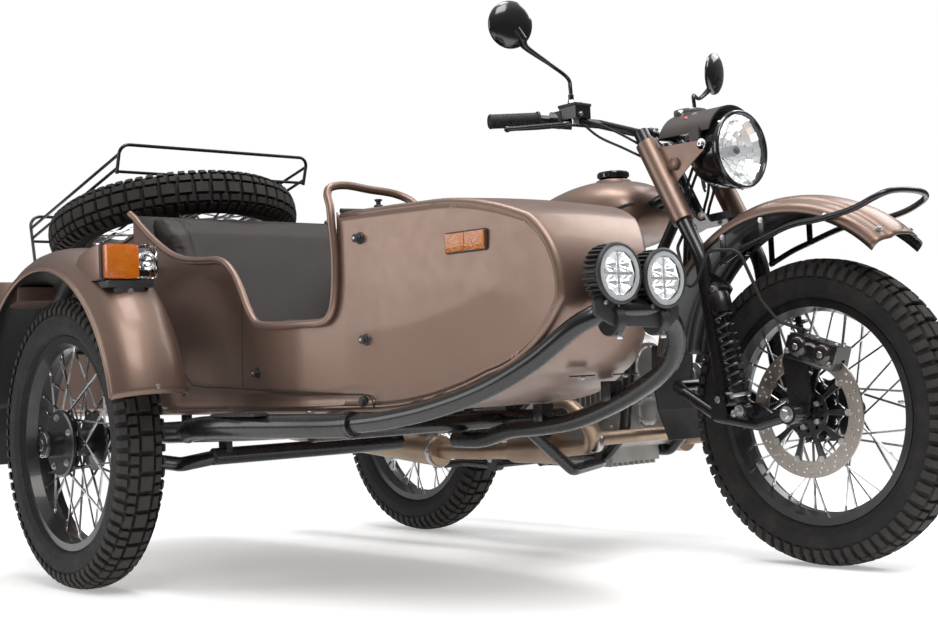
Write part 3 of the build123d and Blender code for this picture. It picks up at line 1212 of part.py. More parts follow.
# ---------------------------------------------------------------- crash bar and its lamps
BAR_TOP_RIGHT = (1668, -850, 566)
BAR_TOP_LEFT = (1668, -700, 548)
with BuildPart() as crash_bar:
    tube(
        [(1072, CH_RIGHT + 13, 379), (1180, -1012, 386), (1385, -980, 418), (1520, -952, 470),
         (1640, -905, 548),
         BAR_TOP_RIGHT, BAR_TOP_LEFT, (1628, -628, 500), (1500, -600, 424), (1330, -600, 366),
             (1132, -600, 348),
         (993, -600, 321.2), (905, -600, 321.2)],
        CRASH_R, 34,
    )
    rod((1066, CH_RIGHT + 12, 378), (1102, CH_RIGHT + 16, 380), OUTER_R + 2.5)
    # plates up to the nose's underside
    for x, z, top in ((1210, 352, 399), (1420, 390, 443)):
        box((x - 14, -618, z), (x + 14, -582, top))
    add(body_solid.part, mode=Mode.SUBTRACT)

LAMP2_R = 52.0
LAMP2_X = 1694.0
FIN_HIGH = 5.0
# auxiliary lamps: y, z of each lamp's middle
LAMP2 = [(-850, 640), (-730, 632)]


def on_bar(t):
    """Design point a fraction t along the crash bar's top, from its right end."""
    return tuple(BAR_TOP_RIGHT[k] + (BAR_TOP_LEFT[k] - BAR_TOP_RIGHT[k]) * t for k in range(3))


with BuildPart() as twin_lamps:
    for y, z in LAMP2:
        rod((LAMP2_X - 44, y, z), (LAMP2_X, y, z), LAMP2_R)
        for i in range(5):
            rod((LAMP2_X - 44 + i * 7, y, z), (LAMP2_X - 41 + i * 7, y, z), LAMP2_R + FIN_HIGH)
        rod((LAMP2_X - 2, y, z), (LAMP2_X + 6, y, z), LAMP2_R + 4)
        box((LAMP2_X - 36, y - 18, 574), (LAMP2_X - 8, y + 18, z - 40))
    # clamps round the bar
    for t in (0.04, 0.76):
        rod(on_bar(t), on_bar(t + 0.2), CRASH_R + 10)
    box((1652, -862, 572), (1684, -712, 592))
    rod(on_bar(-0.4), on_bar(1.2), CRASH_R + BEAD_GAP, mode=Mode.SUBTRACT)
    # where the bar turns back at its right end
    rod((1640, -905, 548), BAR_TOP_RIGHT, CRASH_R + BEAD_GAP, mode=Mode.SUBTRACT)
    add(crash_bar.part, mode=Mode.SUBTRACT)

# ---------------------------------------------------------------- sidecar mudguard and lamps
GUARD_FRONT = 10.5        # degrees up from forward
GUARD_ARC = 162.0
guard_a = math.radians(GUARD_FRONT)
guard_section = Plane(
    origin=at(LEAD, 0, GUARD_Z), x_dir=(0, 1, 0), z_dir=(math.sin(guard_a), 0, -math.cos(guard_a)),
)
guard_axis = Axis(at(LEAD, 0, GUARD_Z), (0, -1, 0))
# outer skin of the section, right edge to left edge: y, radius
GUARD_OUTER = [
    (GUARD_OUT_Y, GUARD_R), (GUARD_OUT_Y, GUARD_R + 8), (-1316, 397), (-1300, 418), (-1268, 434),
    (-1225, 438), (-1185, 434), (-1160, 422), (-1148, 402), (GUARD_IN_Y, GUARD_R),
]
# inner skin, left edge to right edge
GUARD_INNER = [
    (GUARD_IN_Y - SHEET, GUARD_R), (-1151, 400), (-1162, 419), (-1186, 431), (-1225, 435), (-1267, 431),
    (-1298, 415), (-1313, 395), (GUARD_OUT_Y + SHEET, GUARD_R + 7), (GUARD_OUT_Y + SHEET, GUARD_R),
]
with BuildPart() as sidecar_mudguard:
    with BuildSketch(guard_section):
        with BuildLine():
            Polyline(*GUARD_OUTER, *GUARD_INNER, close=True)
        make_face()
    revolve(axis=guard_axis, revolution_arc=GUARD_ARC)
    # stays from the inner edge to the tub's side: degrees up from forward
    for angle in (18, 90, 150):
        a = math.radians(angle)
        x = LEAD + 393 * math.cos(a)
        z = GUARD_Z + 393 * math.sin(a)
        rod((x, -1148.5, z), (x, BODY_RIGHT - BEAD_GAP, z), 7)
    # flap behind the wheel
    with BuildSketch(side(-1160)):
        with BuildLine():
            Polyline((-182, 470), (-188, 432), (-222, 288), (-227, 288), (-194, 432), (-188, 470), close=True)
        make_face()
    extrude(amount=142)

# the same mudguard filled solid, to seat the lamps on it
with BuildPart() as guard_filled:
    with BuildSketch(guard_section):
        with BuildLine():
            Polyline((GUARD_OUT_Y - 1, 100), *[(y, r + BEAD_GAP) for y, r in GUARD_OUTER],
                (GUARD_IN_Y + 1, 100), close=True)
        make_face()
    revolve(axis=guard_axis, revolution_arc=GUARD_ARC)

with BuildPart() as marker_lamps:
    # lamp on the mudguard's front, facing forward, on a housing that fills the slope behind it
    with BuildSketch(side(-1170)):
        with BuildLine():
            Polyline((566, 680), (566, 806), (520, 812), (430, 790), (400, 750), (400, 680), close=True)
        make_face()
    extrude(amount=130)
    # tail lamp of the sidecar
    with BuildSketch(side(-1180)):
        with BuildLine():
            Polyline((-208, 688), (-208, 766), (-110, 766), (20, 752), (0, 688), close=True)
        make_face()
    extrude(amount=100)
    add(guard_filled.part, mode=Mode.SUBTRACT)
    # tail lamp of the motorcycle
    box((-352, -46, 560), (-262, 46, 640))
    rod((0, -60, TYRE_R), (0, 60, TYRE_R), RG_R - 4 + BEAD_GAP, mode=Mode.SUBTRACT)
    # reflector on the tub's side
    with BuildSketch(Plane(origin=at(1406, -962, 722), x_dir=(1, 0, 0), z_dir=(0, -1, 0))):
        SlotOverall(112, 42)
    extrude(amount=14)
    add(body_solid.part, mode=Mode.SUBTRACT)

# ---------------------------------------------------------------- pieces written out
PIECES = {
    "front_wheel": front_wheel, "front_tyre": front_tyre, "front_disc": front_disc,
    "rear_wheel": rear_wheel, "rear_tyre": rear_tyre,
    "sidecar_wheel": sidecar_wheel, "sidecar_tyre": sidecar_tyre,
    "spare_wheel": spare_wheel, "spare_tyre": spare_tyre,
    "fork": fork, "fork_covers": fork_covers, "leading_link": leading_link,
    "brake_hose": brake_hose, "front_shocks": front_shocks,
    "headlamp": headlamp, "headlamp_lens": headlamp_lens, "gauge_cowl": gauge_cowl,
    "handlebar": handlebar, "mirrors": mirrors, "front_mudguard": front_mudguard,
    "frame": frame, "engine_block": engine_block, "cylinders": cylinders, "intakes": intakes,
    "exhaust": exhaust, "final_drive": final_drive, "swingarm": swingarm, "rear_shocks": rear_shocks,
    "rear_mudguard": rear_mudguard, "tank": tank, "saddle": saddle, "side_covers": side_covers,
    "foot_controls": foot_controls, "centre_stand": centre_stand,
    "sidecar_body": sidecar_body, "sidecar_sides": sidecar_sides, "sidecar_nose": sidecar_nose,
    "cockpit_trim": cockpit_trim, "sidecar_seat": sidecar_seat,
    "luggage_lid": luggage_lid, "luggage_rack": luggage_rack,
    "sidecar_chassis": sidecar_chassis, "sidecar_swingarm": sidecar_swingarm,
    "sidecar_mudguard": sidecar_mudguard, "crash_bar": crash_bar,
    "twin_lamps": twin_lamps, "marker_lamps": marker_lamps,
}
for name, piece in PIECES.items():
    piece.part.label = name
    export_step(piece.part, f"parts/{name}.step")
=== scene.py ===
"""Looks of the sidecar motorcycle: finishes for the CAD nodes and the detailed pieces that ride on them."""
import math

import bmesh
import bpy
from mathutils import Matrix, Vector


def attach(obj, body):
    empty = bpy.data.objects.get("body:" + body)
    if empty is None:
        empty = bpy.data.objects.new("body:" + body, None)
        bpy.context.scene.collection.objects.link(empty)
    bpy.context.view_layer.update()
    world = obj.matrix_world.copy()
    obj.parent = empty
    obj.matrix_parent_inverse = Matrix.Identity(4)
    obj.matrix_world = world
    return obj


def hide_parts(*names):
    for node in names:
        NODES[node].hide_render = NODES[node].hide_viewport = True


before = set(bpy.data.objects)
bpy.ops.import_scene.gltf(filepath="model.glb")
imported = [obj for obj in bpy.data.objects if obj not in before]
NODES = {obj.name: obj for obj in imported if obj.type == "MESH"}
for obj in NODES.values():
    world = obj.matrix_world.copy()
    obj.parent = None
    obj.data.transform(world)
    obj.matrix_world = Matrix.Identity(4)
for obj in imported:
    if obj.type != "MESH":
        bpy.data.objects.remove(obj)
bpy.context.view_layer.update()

# design millimetres: x ahead of the rear axle, y left, z up
MID_X, MID_Y = 643.25, -439.625
WHEELBASE, TRACK, LEAD, AXLE_Z = 1500, 1225, 245, 350
FRONT_AXLE = (WHEELBASE, 0, AXLE_Z)
REAR_AXLE = (0, 0, AXLE_Z)
SIDE_AXLE = (LEAD, -TRACK, AXLE_Z)
X, Y, Z = (1, 0, 0), (0, 1, 0), (0, 0, 1)
BACK, RIGHT = (-1, 0, 0), (0, -1, 0)
SIDES = (-1, 1)
# sidecar tub: middle, half width, where its taper starts and how much it takes off
TUB_Y, HALF_W, TAPER_X, TAPER = -725, 293, 900, 91 / 725
TUB_FLOOR, TUB_REAR = 403, -560
# middles of the mudguards' arcs
SIDE_GUARD = (LEAD, -TRACK, 380)
FRONT_GUARD = (1458, 0, 434)
# plane of the front disc
DISC_Y = -57
# the lid's slope, its directions, and the spare wheel's middle with its height above the lid
SLOPE_COS, SLOPE_SIN = math.cos(math.radians(12.3)), math.sin(math.radians(12.3))
DECK_X, DECK_UP = (SLOPE_COS, 0, SLOPE_SIN), (-SLOPE_SIN, 0, SLOPE_COS)
SPARE, SPARE_LIFT = (-166.0, -735.0, 929.0), 133
# wheels: middle, directions of their own x, axle and z, and the body they turn with
WHEELS = {
    "front": (FRONT_AXLE, X, Y, Z, "front_wheel_set"),
    "rear": (REAR_AXLE, X, Y, Z, "rear_wheel_set"),
    "sidecar": (SIDE_AXLE, X, Y, Z, "sidecar_wheel_set"),
    "spare": (SPARE, DECK_X, DECK_UP, RIGHT, "lid"),
}


def P(x, y, z):
    """Metres in the frame from design millimetres: x ahead of the rear axle, y left, z up."""
    return Vector(((x - MID_X) / 1000, (y - MID_Y) / 1000, z / 1000))


# ------------------------------------------------------------------ camera
yaw, pitch, roll = 0.8709, 0.0445, -0.0453
forward = Vector((-math.sin(yaw) * math.cos(pitch), math.cos(yaw) * math.cos(pitch), math.sin(pitch)))
right0 = forward.cross(Vector(Z)).normalized()
up0 = right0.cross(forward)
cam_x = right0 * math.cos(roll) + up0 * math.sin(roll)
cam_y = up0 * math.cos(roll) - right0 * math.sin(roll)
cam_data = bpy.data.cameras.new("camera")
cam_data.sensor_width = 36.0
cam_data.lens = 53.98
cam_data.shift_x = -8 / 938
cam_data.shift_y = -1 / 938
cam_data.clip_end = 60
camera = bpy.data.objects.new("camera", cam_data)
basis = Matrix((cam_x, cam_y, -forward)).transposed().to_4x4()
camera.matrix_world = Matrix.Translation(Vector((2.81820, -2.23144, 0.47019))) @ basis
bpy.context.scene.collection.objects.link(camera)
bpy.context.scene.camera = camera

# ------------------------------------------------------------------ lights
bpy.context.scene.view_settings.view_transform = "Standard"


def area(name, loc, target, size, energy, color=(1, 1, 1)):
    data = bpy.data.lights.new(name, "AREA")
    data.shape = "RECTANGLE"
    data.size, data.size_y = size
    data.energy = energy
    data.color = color
    ob = bpy.data.objects.new(name, data)
    ob.location = loc
    ob.rotation_euler = (Vector(target) - Vector(loc)).to_track_quat("-Z", "Y").to_euler()
    bpy.context.scene.collection.objects.link(ob)


area("key", (3.4, -1.6, 4.8), (0.2, -0.1, 0.4), (2.8, 2.8), 170, (1.0, 0.98, 0.95))
area("fill", (-2.6, -4.9, 1.9), (0.2, -0.2, 0.5), (3.6, 2.6), 92, (1.0, 0.99, 0.98))
area("top", (0.0, 0.0, 5.2), (0.0, 0.0, 0.0), (3.6, 1.6), 140)
area("rim", (0.8, 3.8, 3.9), (0.3, 0, 0.5), (3.6, 2.4), 110)

world = bpy.data.worlds.new("studio")
bpy.context.scene.world = world
world.use_nodes = True
wt = world.node_tree
wt.nodes.clear()
w_out = wt.nodes.new("ShaderNodeOutputWorld")
w_mix = wt.nodes.new("ShaderNodeMixShader")
w_soft = wt.nodes.new("ShaderNodeBackground")
w_soft.inputs["Strength"].default_value = 1.0
# studio round the object: dark near the horizon, bright overhead
w_coord = wt.nodes.new("ShaderNodeTexCoord")
w_split = wt.nodes.new("ShaderNodeSeparateXYZ")
w_ramp = wt.nodes.new("ShaderNodeValToRGB")
w_ramp.color_ramp.elements[0].position = 0.0
w_ramp.color_ramp.elements[0].color = (0.10, 0.10, 0.105, 1)
w_ramp.color_ramp.elements[1].position = 1.0
w_ramp.color_ramp.elements[1].color = (1.0, 1.0, 1.0, 1)
step = w_ramp.color_ramp.elements.new(0.45)
step.color = (0.24, 0.245, 0.26, 1)
wt.links.new(w_coord.outputs["Generated"], w_split.inputs[0])
wt.links.new(w_split.outputs["Z"], w_ramp.inputs[0])
wt.links.new(w_ramp.outputs[0], w_soft.inputs["Color"])
w_white = wt.nodes.new("ShaderNodeBackground")
w_white.inputs["Color"].default_value = (1, 1, 1, 1)
w_white.inputs["Strength"].default_value = 1.0
w_path = wt.nodes.new("ShaderNodeLightPath")
wt.links.new(w_path.outputs["Is Camera Ray"], w_mix.inputs[0])
wt.links.new(w_soft.outputs[0], w_mix.inputs[1])
wt.links.new(w_white.outputs[0], w_mix.inputs[2])
wt.links.new(w_mix.outputs[0], w_out.inputs[0])


# ------------------------------------------------------------------ finishes
class Finish:
    """A node material made up step by step around one Principled shader."""

    def __init__(self, name, color, metallic=0.0, rough=0.5):
        self.mat = bpy.data.materials.new(name)
        self.mat.use_nodes = True
        self.tree = self.mat.node_tree
        self.bsdf = self.tree.nodes["Principled BSDF"]
        self.bsdf.inputs["Base Color"].default_value = (*color, 1)
        self.bsdf.inputs["Metallic"].default_value = metallic
        self.bsdf.inputs["Roughness"].default_value = rough
        self.base = color
        self.color = None
        self.height = None
        self.coord = self.node("ShaderNodeTexCoord").outputs["Object"]

    def node(self, kind, **values):
        n = self.tree.nodes.new(kind)
        for key, value in values.items():
            setattr(n, key, value)
        return n

    def link(self, a, b):
        self.tree.links.new(a, b)

    def set(self, name, value):
        self.bsdf.inputs[name].default_value = value
        return self

    def noise(self, scale, detail):
        n = self.node("ShaderNodeTexNoise")
        n.inputs["Scale"].default_value = scale
        n.inputs["Detail"].default_value = detail
        n.inputs["Roughness"].default_value = 0.55
        self.link(self.coord, n.inputs["Vector"])
        return n.outputs["Fac"]

    def voronoi(self, scale, feature="F1"):
        n = self.node("ShaderNodeTexVoronoi", feature=feature)
        n.inputs["Scale"].default_value = scale
        self.link(self.coord, n.inputs["Vector"])
        return n.outputs["Distance"]

    def ramp(self, value, low, high):
        """0 below low, 1 above high."""
        n = self.node("ShaderNodeMapRange", interpolation_type="SMOOTHSTEP")
        n.inputs["From Min"].default_value = low
        n.inputs["From Max"].default_value = high
        self.link(value, n.inputs["Value"])
        return n.outputs["Result"]

    def math(self, op, a, b=None):
        n = self.node("ShaderNodeMath", operation=op)
        for i, v in enumerate((a, b)):
            if v is None:
                continue
            if isinstance(v, (int, float)):
                n.inputs[i].default_value = v
            else:
                self.link(v, n.inputs[i])
        return n.outputs[0]

    def tint(self, mask, color, amount=1.0):
        """Mixes a second colour into the base by a mask."""
        mix = self.node("ShaderNodeMix", data_type="RGBA")
        fac = mask if amount == 1.0 else self.math("MULTIPLY", mask, amount)
        self.link(fac, mix.inputs["Factor"])
        if self.color is None:
            mix.inputs["A"].default_value = (*self.base, 1)
        else:
            self.link(self.color, mix.inputs["A"])
        mix.inputs["B"].default_value = (*color, 1)
        self.color = mix.outputs["Result"]
        self.link(self.color, self.bsdf.inputs["Base Color"])
        return self

    def patches(self, scale, detail, low, high, color, amount):
        """Mixes in a colour where noise rises from low to high."""
        return self.tint(self.ramp(self.noise(scale, detail), low, high), color, amount)

    def mottle(self, scale, detail, color, amount):
        """Mixes in a colour by plain noise."""
        return self.tint(self.noise(scale, detail), color, amount)

    def vary_rough(self, scale, detail, low, high):
        """Lets noise carry the roughness between two values."""
        return self.mask_value(self.noise(scale, detail), "Roughness", low, high)

    def glow(self, strength):
        self.set("Emission Color", (1.0, 1.0, 1.0, 1.0))
        return self.set("Emission Strength", strength)

    def mask_value(self, mask, socket, low, high):
        """Carries one input of the shader between two values by a mask."""
        n = self.node("ShaderNodeMapRange")
        n.inputs["To Min"].default_value = low
        n.inputs["To Max"].default_value = high
        self.link(mask, n.inputs["Value"])
        self.link(n.outputs["Result"], self.bsdf.inputs[socket])
        return self

    def bump(self, height, strength, distance):
        n = self.node("ShaderNodeBump")
        n.inputs["Strength"].default_value = strength
        n.inputs["Distance"].default_value = distance
        self.link(height, n.inputs["Height"])
        if self.height is not None:
            self.link(self.height, n.inputs["Normal"])
        self.height = n.outputs["Normal"]
        self.link(self.height, self.bsdf.inputs["Normal"])
        return self

    def grain(self, scale, detail, strength, distance):
        """Bumps from noise."""
        return self.bump(self.noise(scale, detail), strength, distance)

    def edges(self, low, high):
        """Mask of sharp outer edges, from the surface's pointiness."""
        g = self.node("ShaderNodeNewGeometry")
        return self.ramp(g.outputs["Pointiness"], low, high)

    def distance_from(self, origin, axis):
        """Distance of a point from a line through origin along a unit axis, in metres."""
        sub = self.node("ShaderNodeVectorMath", operation="SUBTRACT")
        self.link(self.coord, sub.inputs[0])
        sub.inputs[1].default_value = origin
        cross = self.node("ShaderNodeVectorMath", operation="CROSS_PRODUCT")
        self.link(sub.outputs[0], cross.inputs[0])
        cross.inputs[1].default_value = axis
        length = self.node("ShaderNodeVectorMath", operation="LENGTH")
        self.link(cross.outputs[0], length.inputs[0])
        return length.outputs["Value"]

    def facing(self, centre):
        """1 where the surface faces towards a point, 0 where it faces away: the inside of a shell."""
        sub = self.node("ShaderNodeVectorMath", operation="SUBTRACT")
        self.link(self.coord, sub.inputs[0])
        sub.inputs[1].default_value = centre
        dot = self.node("ShaderNodeVectorMath", operation="DOT_PRODUCT")
        self.link(sub.outputs[0], dot.inputs[0])
        self.link(self.node("ShaderNodeTexCoord").outputs["Normal"], dot.inputs[1])
        return self.math("LESS_THAN", dot.outputs["Value"], 0.0)

    def part_of(self, axis):
        """One coordinate of the object-space position."""
        n = self.node("ShaderNodeSeparateXYZ")
        self.link(self.coord, n.inputs[0])
        return n.outputs[axis]


def paint(name, color, metallic, rough, coat=0.5, dust=0.25, flake=True):
    f = Finish(name, color, metallic, rough)
    f.patches(2.6, 3, 0.3, 0.75, tuple(c * 0.86 for c in color), 0.55)
    # dust that settles low on the vehicle
    low = f.ramp(f.part_of("Z"), 0.62, 0.10)
    f.tint(f.math("MULTIPLY", low, f.ramp(f.noise(9, 5), 0.35, 0.7)), (0.33, 0.28, 0.22), dust)
    f.patches(60, 2, 0.62, 0.8, tuple(min(1, c * 1.25 + 0.01) for c in color), 0.18)
    f.vary_rough(34, 4, rough * 0.82, rough * 1.25)
    f.set("Coat Weight", coat)
    f.set("Coat Roughness", 0.12)
    if flake:
        f.grain(1900, 1, 0.05, 0.0002)
    f.grain(120, 2, 0.035 if flake else 0.012, 0.0006)
    return f


BRONZE = (0.222, 0.146, 0.114)
DARK = (0.012, 0.0115, 0.012)


def bronze_paint(name):
    return paint(name, BRONZE, 0.75, 0.42, coat=0.25)


def darken(f, mask):
    """Turns the masked part of a finish into plain black."""
    f.tint(mask, DARK)
    f.mask_value(mask, "Metallic", f.bsdf.inputs["Metallic"].default_value, 0.0)
    return f


bronze = bronze_paint("bronze_lacquer")
# painted shade: the sidecar mudguard takes the tub's bronze at 0.78 of its colour, a darker copy of the same
# paint
shaded_guard_paint = paint("bronze_lacquer_sidecar_guard_painted_shade", tuple(0.78 * c for c in BRONZE), 0.75, 0.42, coat=0.25)
darken(shaded_guard_paint, shaded_guard_paint.facing(P(*SIDE_GUARD)))
front_guard_paint = bronze_paint("bronze_lacquer_front_guard")
darken(front_guard_paint, front_guard_paint.facing(P(*FRONT_GUARD)))
rear_paint = bronze_paint("bronze_lacquer_rear_guard")
darken(rear_paint, rear_paint.facing(P(*REAR_AXLE)))
black = paint("black_powder_coat", (0.0080, 0.0078, 0.0086), 0.0, 0.26, coat=0.3, dust=0.03, flake=False)
black.set("Specular IOR Level", 0.4)
black.grain(900, 2, 0.015, 0.0001)
gloss_black = paint("black_gloss", (0.009, 0.009, 0.010), 0.0, 0.16, coat=0.8, dust=0.12, flake=False)

plastic = Finish("black_moulded_plastic", (0.020, 0.019, 0.021), 0.0, 0.48)
plastic.patches(7, 3, 0.4, 0.7, (0.032, 0.030, 0.031), 0.6)
plastic.vary_rough(50, 3, 0.4, 0.6)
plastic.grain(1400, 2, 0.25, 0.0003)

cowl_plastic = Finish("brown_grey_satin", (0.040, 0.031, 0.026), 0.1, 0.42)
cowl_plastic.mottle(9, 3, (0.052, 0.042, 0.036), 0.5)
cowl_plastic.vary_rough(40, 3, 0.36, 0.5)
cowl_plastic.grain(1300, 2, 0.2, 0.0003)

rubber = Finish("tyre_rubber_used", (0.0105, 0.0100, 0.0105), 0.0, 0.7)
rubber.set("Specular IOR Level", 0.35)
rubber.patches(22, 6, 0.42, 0.72, (0.034, 0.028, 0.024), 0.5)
rubber.tint(rubber.edges(0.52, 0.60), (0.045, 0.039, 0.034), 0.45)
rubber.vary_rough(80, 4, 0.62, 0.9)
rubber.grain(650, 3, 0.35, 0.0006)

soft_rubber = Finish("black_rubber", (0.015, 0.0145, 0.015), 0.0, 0.62)
soft_rubber.patches(30, 4, 0.45, 0.75, (0.040, 0.037, 0.034), 0.5)
soft_rubber.vary_rough(60, 3, 0.5, 0.75)
soft_rubber.grain(900, 2, 0.25, 0.0004)

chrome = Finish("bright_plate", (0.72, 0.72, 0.73), 1.0, 0.12)
chrome.patches(40, 4, 0.5, 0.8, (0.48, 0.46, 0.44), 0.4)
chrome.vary_rough(90, 3, 0.07, 0.2)

steel = Finish("zinc_bolt", (0.56, 0.56, 0.57), 1.0, 0.3)
steel.patches(70, 4, 0.45, 0.75, (0.36, 0.34, 0.32), 0.6)
steel.vary_rough(160, 3, 0.22, 0.42)
steel.grain(700, 2, 0.12, 0.0002)

rotor = Finish("rotor_ground_steel", (0.50, 0.46, 0.42), 1.0, 0.34)
rings = rotor.distance_from(P(*FRONT_AXLE), Y)
ring_wave = rotor.math("SINE", rotor.math("MULTIPLY", rings, 5200.0))
rotor.tint(rotor.ramp(ring_wave, -0.6, 0.9), (0.34, 0.30, 0.27), 0.35)
rotor.patches(18, 4, 0.45, 0.75, (0.42, 0.34, 0.28), 0.4)
rotor.vary_rough(60, 3, 0.26, 0.44)
rotor.bump(ring_wave, 0.12, 0.0002)

alloy = Finish("sand_cast_alloy", (0.43, 0.42, 0.41), 0.9, 0.44)
alloy.patches(12, 5, 0.4, 0.7, (0.28, 0.265, 0.25), 0.6)
alloy.patches(3.5, 3, 0.5, 0.8, (0.20, 0.17, 0.14), 0.45)
alloy.vary_rough(90, 4, 0.36, 0.6)
alloy.grain(420, 4, 0.4, 0.0006)

exhaust_steel = Finish("exhaust_heat_coat", (0.36, 0.265, 0.19), 0.9, 0.36)
exhaust_steel.patches(7, 4, 0.38, 0.7, (0.20, 0.145, 0.11), 0.5)
exhaust_steel.tint(exhaust_steel.ramp(exhaust_steel.part_of("X"), -0.45, -0.65), (0.05, 0.045, 0.042), 0.9)
exhaust_steel.vary_rough(45, 4, 0.3, 0.55)
exhaust_steel.grain(260, 3, 0.15, 0.0004)


def vinyl(name, color):
    f = Finish(name, color, 0.0, 0.5)
    f.patches(5, 4, 0.35, 0.7, tuple(c * 0.72 for c in color), 0.6)
    f.patches(320, 3, 0.5, 0.75, tuple(min(1, c * 1.5) for c in color), 0.25)
    f.vary_rough(28, 3, 0.42, 0.6)
    f.set("Specular IOR Level", 0.28)
    f.set("Sheen Weight", 0.03)
    f.set("Sheen Roughness", 0.4)
    # pebbled grain and fine creases
    f.bump(f.ramp(f.voronoi(520, "DISTANCE_TO_EDGE"), 0.0, 0.10), 0.35, 0.0004)
    f.grain(90, 4, 0.10, 0.0010)
    f.grain(14, 3, 0.12, 0.0030)
    return f


seat_vinyl = vinyl("dark_brown_vinyl", (0.030, 0.0235, 0.0225))
saddle_vinyl = vinyl("saddle_vinyl", (0.026, 0.021, 0.020))

amber = Finish("amber_lens", (0.86, 0.22, 0.012), 0.0, 0.14)
amber.set("Transmission Weight", 0.55)
amber.set("Coat Weight", 0.6)
amber.patches(60, 2, 0.4, 0.7, (0.95, 0.34, 0.03), 0.5)
amber.bump(amber.voronoi(260), 0.6, 0.0012)

red_lens = Finish("red_lens", (0.62, 0.012, 0.008), 0.0, 0.14)
red_lens.set("Transmission Weight", 0.4)
red_lens.set("Coat Weight", 0.6)
red_lens.patches(60, 2, 0.4, 0.7, (0.8, 0.03, 0.02), 0.5)
red_lens.bump(red_lens.voronoi(240), 0.6, 0.0012)

glass = Finish("clear_lens", (0.97, 0.98, 0.98), 0.0, 0.02)
glass.set("Transmission Weight", 1.0)
glass.set("IOR", 1.45)
glass.grain(30, 2, 0.02, 0.0008)

mirror_face = Finish("reflector_silver", (0.88, 0.89, 0.90), 1.0, 0.06)
mirror_face.mottle(30, 2, (0.78, 0.80, 0.82), 0.4)
lamp_chrome = Finish("lamp_reflector_lit", (0.92, 0.92, 0.93), 1.0, 0.08)
lamp_chrome.mottle(30, 2, (0.82, 0.83, 0.85), 0.4)
lamp_chrome.glow(0.40)
twin_chrome = Finish("driving_lamp_mirror", (0.90, 0.90, 0.91), 1.0, 0.10)
twin_chrome.mottle(30, 2, (0.80, 0.81, 0.83), 0.4)
twin_chrome.glow(0.20)


def coat(node, finish):
    """Gives a CAD node one finish."""
    ob = NODES[node]
    ob.data.materials.clear()
    ob.data.materials.append(finish.mat)


for names, finish in (
    (("fork", "leading_link", "handlebar", "frame", "swingarm", "foot_controls", "centre_stand",
      "luggage_rack", "sidecar_chassis", "sidecar_swingarm", "crash_bar"), black),
    (("fork_covers", "tank", "side_covers", "luggage_lid", "cockpit_trim"), bronze),
    (("rear_mudguard",), rear_paint),
    (("front_mudguard", "sidecar_mudguard", "sidecar_body", "sidecar_sides", "sidecar_nose"), bronze),
    (("gauge_cowl",), cowl_plastic),
    (("mirrors", "twin_lamps", "intakes"), plastic),
    (("engine_block", "cylinders", "final_drive"), alloy),
    (("exhaust",), exhaust_steel),
    (("front_disc",), rotor),
    (("front_tyre", "rear_tyre", "sidecar_tyre", "spare_tyre"), rubber),
    (("headlamp",), gloss_black),
    (("headlamp_lens",), glass),
    (("saddle",), saddle_vinyl),
    (("sidecar_seat",), seat_vinyl),
    (("marker_lamps",), amber),
    (("front_shocks", "rear_shocks"), black),
):
    for name in names:
        coat(name, finish)
if "brake_hose" in NODES:
    coat("brake_hose", soft_rubber)

# wheels: black rim and hub, bright spokes, told apart by their distance from the axle
for name, (centre, _, axis, _, _) in WHEELS.items():
    f = Finish("wire_wheel_" + name, (0.58, 0.58, 0.59), 1.0, 0.2)
    radius = f.distance_from(P(*centre), axis)
    rim = f.ramp(radius, 0.2272, 0.2276)
    reach = 0.0815 if name == "sidecar" else 0.0750
    hub = f.ramp(radius, reach + 0.0002, reach - 0.0002)
    dark = f.math("MAXIMUM", rim, hub)
    f.patches(50, 3, 0.5, 0.8, (0.42, 0.40, 0.38), 0.5)
    f.tint(dark, (0.010, 0.010, 0.011), 1.0)
    f.tint(f.math("MULTIPLY", dark, f.ramp(f.noise(24, 4), 0.5, 0.75)), (0.07, 0.06, 0.05), 0.3)
    f.mask_value(dark, "Metallic", 1.0, 0.0)
    f.mask_value(dark, "Coat Weight", 0.0, 0.3)
    f.mask_value(dark, "Roughness", 0.2, 0.3)
    f.grain(300, 2, 0.05, 0.0003)
    coat(name + "_wheel", f)

# ------------------------------------------------------------------ building pieces
def between(a, b, c, d, t):
    """Smooth curve from b to c at t, with a and d as the points before and after."""
    square, cube = 2 * a - 5 * b + 4 * c - d, 3 * b - a - 3 * c + d
    return 0.5 * (2 * b + (c - a) * t + square * t * t + cube * t ** 3)


def circle(count, turn=0.0):
    """Angles spaced evenly round a circle, the first one turned by a share of the spacing."""
    return [2 * math.pi * (k + turn) / count for k in range(count)]


def thicken(ob, metres):
    """Gives a sheet its thickness, inwards."""
    mod = ob.modifiers.new("sheet", "SOLIDIFY")
    mod.thickness = metres
    mod.offset = -1
    return mod


